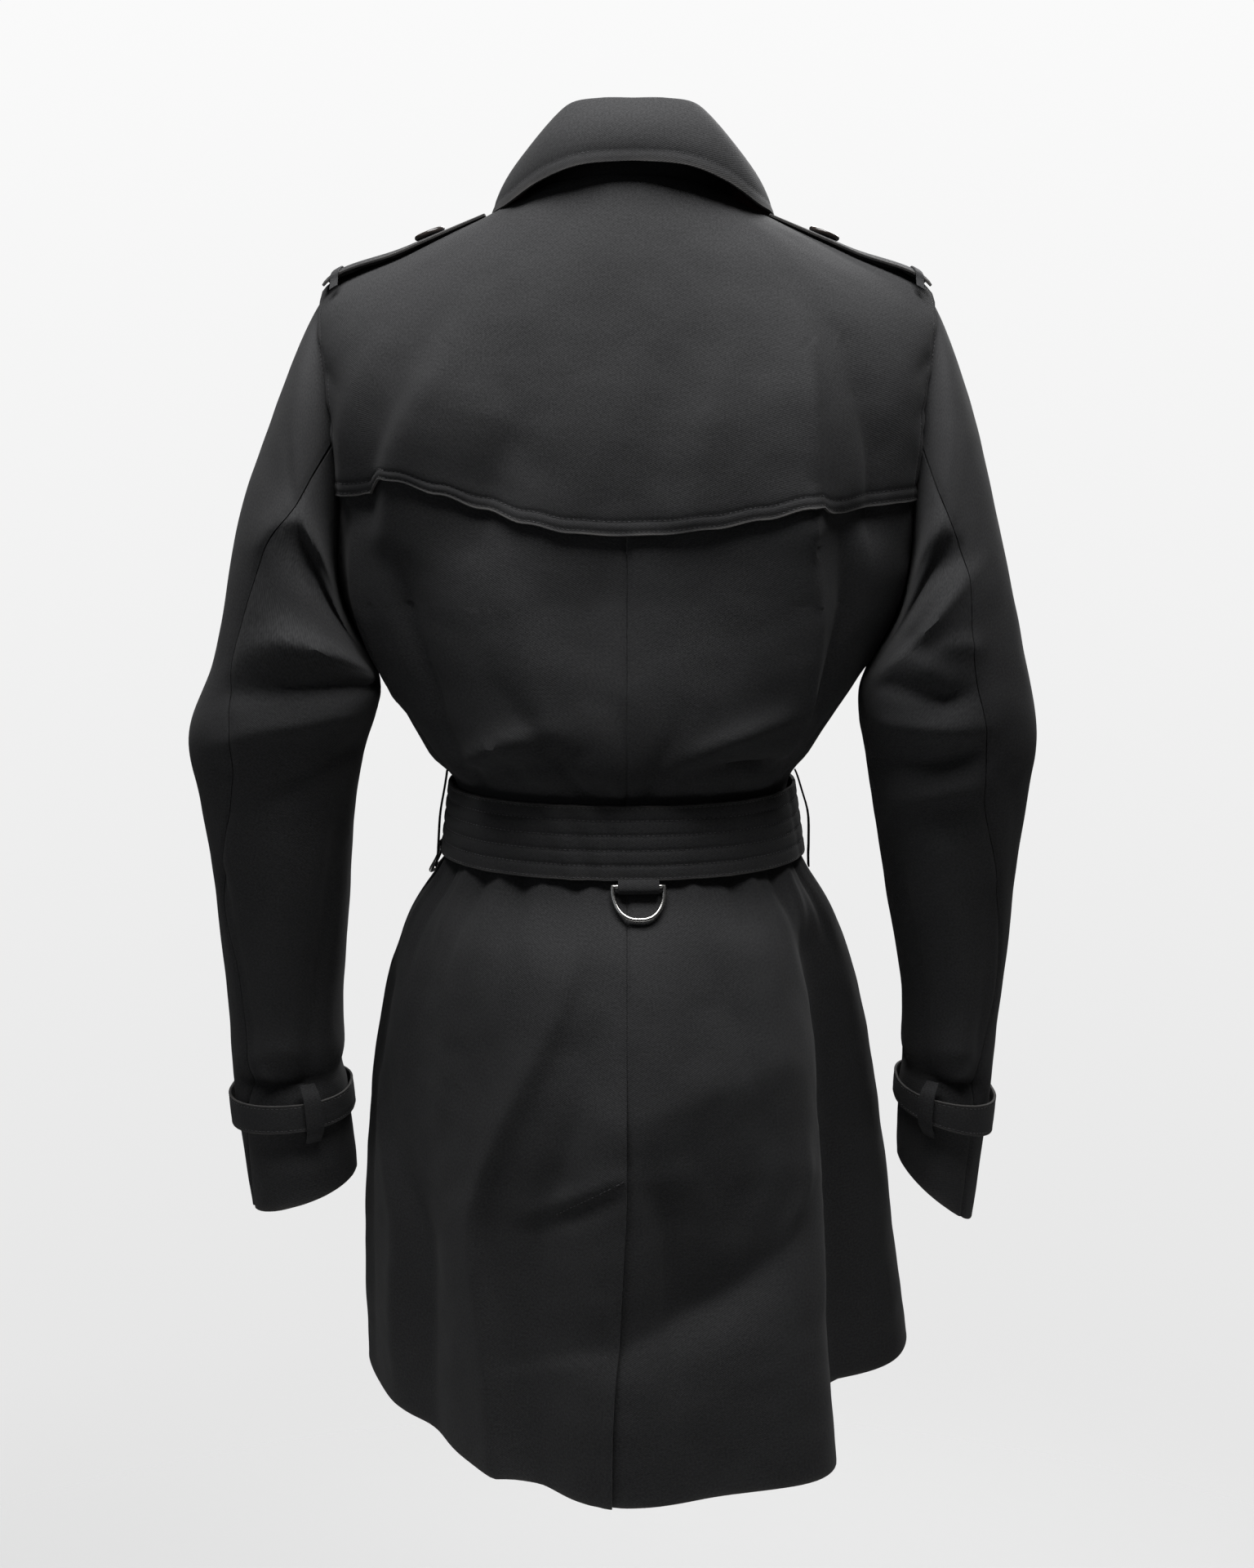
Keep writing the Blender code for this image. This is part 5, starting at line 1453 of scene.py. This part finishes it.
def hanger_point(surface, across, along, out):
    return surface(across, along) - outward(surface, across, along, 0.05, 0.05) * out


def ring_curve(name, middle):
    """A D of round wire: an arc that hangs from a straight bar."""
    arc = [(math.cos(math.pi * step / 40), math.sin(math.pi * step / 40)) for step in range(41)]
    arc = [(math.copysign(abs(across) ** 0.8, across), down) for across, down in arc]
    arc += [(step / 6 - 1, 0.0) for step in range(1, 12)]
    curve = bpy.data.curves.new(name, "CURVE")
    curve.dimensions = "3D"
    curve.bevel_depth = WIRE
    curve.bevel_resolution = 4
    spline = curve.splines.new("POLY")
    spline.points.add(len(arc) - 1)
    for slot, (across, down) in zip(spline.points, arc):
        level = level_at(round(BAR_HEIGHT - RING_DROP * down, 6))
        angle = middle + math.degrees(RING_HALF_WIDTH / WAIST_RADIUS) * across
        normal = outward(smooth_point, angle, level, 0.5, 0.02)
        slot.co = (*(smooth_point(angle, level) + normal * (BAR_LIFT - RING_LEAN * down)), 1)
    spline.use_cyclic_u = True
    return curve


def build_rings():
    """A steel D-ring at the centre back and one at the wearer's left, each in its own fabric loop."""
    along = [step / 4 for step in range(4 * (len(HANGER) - 1) + 1)]
    for name, middle in (("back", -3.5), ("side", 104.0)):
        place = partial(hanger_point, partial(hanger_surface, middle))
        cloth(f"d_ring_loop_{name}", steps(HANGER_WIDTH, cell=0.0025), along, place)
        ring = bpy.data.objects.new(f"d_ring_{name}", ring_curve(f"d_ring_{name}", middle))
        bpy.context.scene.collection.objects.link(ring)
        finish_piece(ring, [nickel_steel()], [f"d_ring_{name}"])


# ---------------------------------------------------------------- the epaulettes

EPAULETTE_LOW, EPAULETTE_HIGH = 13.0, 14.62
EPAULETTE_HALF, EPAULETTE_TIP_HALF = 0.0275, 0.0200
EPAULETTE_LENGTH, EPAULETTE_ROW, KEEPER_WIDE = 0.105, 0.005, 0.0075
# The keeper's course over the strap and round its sides: across, as shares of its half width, and fall
KEEPER = ((-1.34, 0.0088), (-1.16, 0.0040), (-1.05, -0.0012), (-0.5, -0.0015), (0.0, -0.0017))
KEEPER += tuple((-across, fall) for across, fall in reversed(KEEPER[:-1]))


def epaulette_surface(sign, along, across):
    """along runs from the armhole to the neck end and across from -1 (front) to 1 (back)."""
    level = EPAULETTE_LOW + (EPAULETTE_HIGH - EPAULETTE_LOW) * along
    ridge = smooth_point(sign * 90, level)
    half = EPAULETTE_HALF + (EPAULETTE_TIP_HALF - EPAULETTE_HALF) * along
    lift = 0.0078 - 0.0020 * along
    droop = 0.0040 - 0.0014 * along
    tilt = 0.0052 * max(0.0, along - 0.5)
    return ridge + Vector((0, half * across, lift - droop * across * across + tilt * across))


def epaulette_point(sign, across, along, out):
    dip = line_dip((EPAULETTE_ROW,), (1 - abs(across)) * EPAULETTE_HALF, 0.0004)
    return epaulette_surface(sign, along, across) + Vector((0, 0, out + dip))


def keeper_point(sign, share, turn, out):
    """share runs across the keeper and turn along its course over the strap."""
    across, fall = through(KEEPER, turn)
    held = max(-1.0, min(1.0, across))
    point = epaulette_surface(sign, 0.10 + 0.07 * share, held)
    point.y += (across - held) * EPAULETTE_HALF
    return point + Vector((0, 0, out - fall))


def build_epaulettes():
    """On each shoulder a strap, its keeper and its button."""
    routes = []
    near = (0.0008, 0.0030, 0.0040, 0.0050, 0.0062)
    across = [2 * a - 1 for a in steps(2 * EPAULETTE_HALF, near, near, 0.004)]
    turns = [step / 4 for step in range(4 * (len(KEEPER) - 1) + 1)]
    for side, sign in (("left", 1), ("right", -1)):
        strap, keeper = partial(epaulette_point, sign), partial(keeper_point, sign)
        cloth(f"epaulette_{side}", across, steps(EPAULETTE_LENGTH), strap, free="start end high")
        for edge in (-1, 1):
            line = edge * (1 - EPAULETTE_ROW / EPAULETTE_HALF)
            routes.append(Route(lambda t, out, strap=strap, line=line: strap(line, t, out), 0.02, 0.98))
        cloth(f"epaulette_keeper_{side}", steps(KEEPER_WIDE, cell=0.0018), turns, keeper)
        slope = epaulette_surface(sign, 0.80, 0.0) - epaulette_surface(sign, 0.68, 0.0)
        normal = slope.cross(Vector((0, sign, 0))).normalized()
        if normal.z < 0:
            normal.negate()
        seat = epaulette_surface(sign, 0.74, 0.0) + normal * 0.0005
        button(f"epaulette_button_{side}", seat, normal, 0.011)
    stitch_rows("epaulette_topstitching", routes)


# ---------------------------------------------------------------- buttons and buckles


# A button's section, from its middle under it to its middle on top: shares of its radius and thickness
BUTTON_PROFILE = (
    (0.0, 0.0), (0.80, 0.0), (0.93, 0.10), (0.99, 0.35), (1.0, 0.60), (0.97, 0.85), (0.88, 1.0),
    (0.76, 0.96), (0.66, 0.72), (0.58, 0.62), (0.0, 0.58),
)
BUTTON_THICKNESS = 0.0036


def button(name, centre, normal, radius, thickness=BUTTON_THICKNESS):
    """A four-hole button: a rolled rim round a dished face, sewn on with two crossed bars of thread."""
    seat = Matrix.Translation(centre) @ normal.to_track_quat("Z", "Y").to_matrix().to_4x4()
    bm = bmesh.new()
    corners = [bm.verts.new((radius * across, 0, thickness * up)) for across, up in BUTTON_PROFILE]
    geom = corners + [bm.edges.new(pair) for pair in zip(corners, corners[1:])]
    bmesh.ops.spin(bm, geom=geom, cent=(0, 0, 0), axis=(0, 0, 1), angle=math.tau, steps=40, use_merge=True)
    bmesh.ops.remove_doubles(bm, verts=bm.verts[:], dist=0.00001)
    bmesh.ops.recalc_face_normals(bm, faces=bm.faces[:])
    bmesh.ops.transform(bm, matrix=seat, verts=bm.verts[:])
    new_piece(name, bm, [horn()], [name])
    bm = bmesh.new()
    hole = radius * 0.20
    for across in (-1, 1):
        for up in (-1, 1):
            place = Matrix.Translation((across * hole, up * hole, thickness * 0.62))
            flat = Matrix.Diagonal((radius * 0.085, radius * 0.085, radius * 0.03, 1))
            bmesh.ops.create_uvsphere(bm, u_segments=10, v_segments=6, radius=1, matrix=place @ flat)
    for angle in (45, -45):
        bar = Matrix.Translation((0, 0, thickness * 0.70)) @ Matrix.Rotation(math.radians(angle), 4, "Z")
        shape = Matrix.Diagonal((hole * 1.45, radius * 0.045, radius * 0.040, 1))
        bmesh.ops.create_uvsphere(bm, u_segments=10, v_segments=8, radius=1, matrix=bar @ shape)
    bmesh.ops.transform(bm, matrix=seat, verts=bm.verts[:])
    new_piece(f"{name}_thread", bm, [stitching_thread()])


BUTTON_HEIGHTS = (-0.300, -0.372, -0.530, -0.610)
BUTTON_RADIUS, BUTTON_LIFT = 0.013, 0.0004
BUTTON_OFFSET = 0.062


def build_buttons():
    """Two columns on the upper front, each button upright on its own patch of cloth."""
    for column, way in (("a", -1), ("b", 1)):
        for number, height in enumerate(BUTTON_HEIGHTS, 1):
            level = level_at(height)
            angle = 180 + way * math.degrees(math.asin(BUTTON_OFFSET / ring_at(level).left))
            normal = front_surface(-1, angle, level, 0.001) - front_surface(-1, angle, level, 0.0)
            centre = front_surface(-1, angle, level, BUTTON_LIFT)
            button(f"button_{column}{number}", centre, normal.normalized(), BUTTON_RADIUS)


def build_buckles():
    """The frame buckles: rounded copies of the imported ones."""
    buckles = {"belt_buckle": 0.0013, "cuff_buckle_left": 0.0008, "cuff_buckle_right": 0.0008}
    for name, radius in buckles.items():
        bm = bmesh.new()
        bm.from_mesh(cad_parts[name].data)
        bmesh.ops.remove_doubles(bm, verts=bm.verts[:], dist=0.00001)
        flat = {"angle_limit": math.radians(2), "use_dissolve_boundaries": False}
        bmesh.ops.dissolve_limit(bm, verts=bm.verts[:], edges=bm.edges[:], **flat)
        sharp = [edge for edge in bm.edges if edge.calc_face_angle(0) > math.radians(40)]
        bmesh.ops.bevel(
            bm, geom=sharp, offset=radius, segments=3, profile=0.5, affect="EDGES", material=-1,
            offset_type="OFFSET", clamp_overlap=True,
        )
        new_piece(f"{name}_frame", bm, [moulded_buckle()], [name])


# ---------------------------------------------------------------- the stage


Lamp = namedtuple("Lamp", "name place aim power size colour")
LAMPS = (
    Lamp("overhead", (0.0, 0.42, 1.15), (0, 0.05, -0.3), 46, (1.4, 0.8), (1, 1, 1)),
    Lamp("left_fill", (1.7, 1.3, 0.1), (0, 0, -0.45), 2, (1.0, 1.4), (0.88, 0.94, 1.0)),
    Lamp("front_fill", (-0.7, -2.3, 1.3), (0, 0, -0.4), 70, (1.8, 1.8), (1, 1, 1)),
)
FLOOR_HEIGHT = -1.5


def add_lamp(row):
    """A soft rectangular lamp at its place, turned towards its aim."""
    light = bpy.data.lights.new(row.name, "AREA")
    light.energy = row.power
    light.color = row.colour
    light.shape = "RECTANGLE"
    light.size, light.size_y = row.size
    lamp = bpy.data.objects.new(row.name, light)
    lamp.location = row.place
    lamp.rotation_euler = (Vector(row.aim) - Vector(row.place)).to_track_quat("-Z", "Y").to_euler()
    bpy.context.scene.collection.objects.link(lamp)


def build_world(scene):
    """A pale room: bright to look at, with painted shade that darkens it lower down, and dim as a lamp."""
    world = bpy.data.worlds.new("pale_room")
    scene.world = world
    world.use_nodes = True
    tree = world.node_tree
    tree.nodes.clear()
    place = node(tree, "TexCoord")
    split = node(tree, "SeparateXYZ", None, {"Vector": (place, "Generated")})
    shade = node(
        tree,
        "MapRange",
        {"From Min": -0.48, "From Max": 0.16, "To Min": 0.77, "To Max": 0.96},
        {"Value": (split, "Z")},
    )
    path = node(tree, "LightPath")
    strength = node(tree, "Mix", {"data_type": "FLOAT", "A": 0.035}, {0: (path, 0), "B": (shade, 0)})
    room = node(tree, "Background", {"Color": (1, 1, 1, 1)}, {"Strength": (strength, 0)})
    node(tree, "OutputWorld", None, {"Surface": (room, 0)})


def build_stage():
    """A sheet of paper for a floor, a pale room, soft lamps and the camera."""
    scene = bpy.context.scene
    bm = bmesh.new()
    bmesh.ops.create_grid(bm, x_segments=1, y_segments=1, size=3.0)
    mesh = bpy.data.meshes.new("floor")
    bm.to_mesh(mesh)
    bm.free()
    mesh.materials.append(stage_paper())
    floor = bpy.data.objects.new("floor", mesh)
    floor.location = (0, 0, FLOOR_HEIGHT)
    scene.collection.objects.link(floor)
    build_world(scene)
    for row in LAMPS:
        add_lamp(row)
    camera = bpy.data.cameras.new("camera")
    camera.lens = 53.8
    camera.sensor_width = 36
    view = bpy.data.objects.new("camera", camera)
    view.location = (0, 1.65, -0.126)
    view.rotation_euler = (math.radians(80), 0, math.radians(180))
    scene.collection.objects.link(view)
    scene.camera = view
    scene.view_settings.view_transform = "Standard"


# ---------------------------------------------------------------- operators and panel


class BuildBody(bpy.types.Operator):
    """Build the backs and the fronts with their topstitching"""

    bl_idname = "coat.build_body"
    bl_label = "Backs and fronts"

    def execute(self, context):
        build_body()
        return {"FINISHED"}


class BuildLapels(bpy.types.Operator):
    """Build the two lapels"""

    bl_idname = "coat.build_lapels"
    bl_label = "Lapels"

    def execute(self, context):
        build_lapels()
        return {"FINISHED"}


class BuildStormFlap(bpy.types.Operator):
    """Build the storm flap over the upper back"""

    bl_idname = "coat.build_storm_flap"
    bl_label = "Storm flap"

    def execute(self, context):
        build_storm_flap()
        return {"FINISHED"}


class BuildCollar(bpy.types.Operator):
    """Build the collar's stand and leaf"""

    bl_idname = "coat.build_collar"
    bl_label = "Collar"

    def execute(self, context):
        build_collar()
        return {"FINISHED"}


class BuildSleeves(bpy.types.Operator):
    """Build the two-piece sleeves"""

    bl_idname = "coat.build_sleeves"
    bl_label = "Sleeves"

    def execute(self, context):
        build_sleeves()
        return {"FINISHED"}


class BuildCuffs(bpy.types.Operator):
    """Build the cuff straps and their loops"""

    bl_idname = "coat.build_cuffs"
    bl_label = "Cuff straps"

    def execute(self, context):
        build_cuffs()
        return {"FINISHED"}


class BuildBelt(bpy.types.Operator):
    """Build the stitched belt and its loops"""

    bl_idname = "coat.build_belt"
    bl_label = "Belt"

    def execute(self, context):
        build_belt()
        return {"FINISHED"}


class BuildRings(bpy.types.Operator):
    """Build the D-rings and the fabric loops that carry them"""

    bl_idname = "coat.build_rings"
    bl_label = "D-rings"

    def execute(self, context):
        build_rings()
        return {"FINISHED"}


class BuildEpaulettes(bpy.types.Operator):
    """Build the epaulettes with their keepers and buttons"""

    bl_idname = "coat.build_epaulettes"
    bl_label = "Epaulettes"

    def execute(self, context):
        build_epaulettes()
        return {"FINISHED"}


class BuildButtons(bpy.types.Operator):
    """Build the two columns of front buttons"""

    bl_idname = "coat.build_buttons"
    bl_label = "Front buttons"

    def execute(self, context):
        build_buttons()
        return {"FINISHED"}


class BuildBuckles(bpy.types.Operator):
    """Build the belt's buckle and the two cuff buckles"""

    bl_idname = "coat.build_buckles"
    bl_label = "Buckles"

    def execute(self, context):
        build_buckles()
        return {"FINISHED"}


class BuildStage(bpy.types.Operator):
    """Build the paper floor, the pale room, the lights and the camera"""

    bl_idname = "coat.build_stage"
    bl_label = "Stage"

    def execute(self, context):
        build_stage()
        return {"FINISHED"}


OPERATORS = (
    BuildBody,
    BuildLapels,
    BuildStormFlap,
    BuildCollar,
    BuildSleeves,
    BuildCuffs,
    BuildBelt,
    BuildRings,
    BuildEpaulettes,
    BuildButtons,
    BuildBuckles,
    BuildStage,
)


class CoatPanel(bpy.types.Panel):
    """The coat's settings and the buttons that build it"""

    bl_idname = "VIEW3D_PT_coat"
    bl_label = "Trench coat"
    bl_space_type = "VIEW_3D"
    bl_region_type = "UI"
    bl_category = "Coat"

    def draw(self, context):
        for group in (context.scene.coat_sizes, context.scene.coat_colours):
            for name in group.__annotations__:
                self.layout.prop(group, name)
        for operator in OPERATORS:
            self.layout.operator(operator.bl_idname)


CLASSES = (CoatSizes, CoatColours, *OPERATORS, CoatPanel)


def register():
    for item in CLASSES:
        bpy.utils.register_class(item)
    bpy.types.Scene.coat_sizes = bpy.props.PointerProperty(type=CoatSizes)
    bpy.types.Scene.coat_colours = bpy.props.PointerProperty(type=CoatColours)


def unregister():
    del bpy.types.Scene.coat_colours
    del bpy.types.Scene.coat_sizes
    for item in reversed(CLASSES):
        bpy.utils.unregister_class(item)


def main():
    register()
    for operator in OPERATORS:
        getattr(bpy.ops.coat, operator.bl_idname.split(".")[1])()


if __name__ == "__main__":
    main()
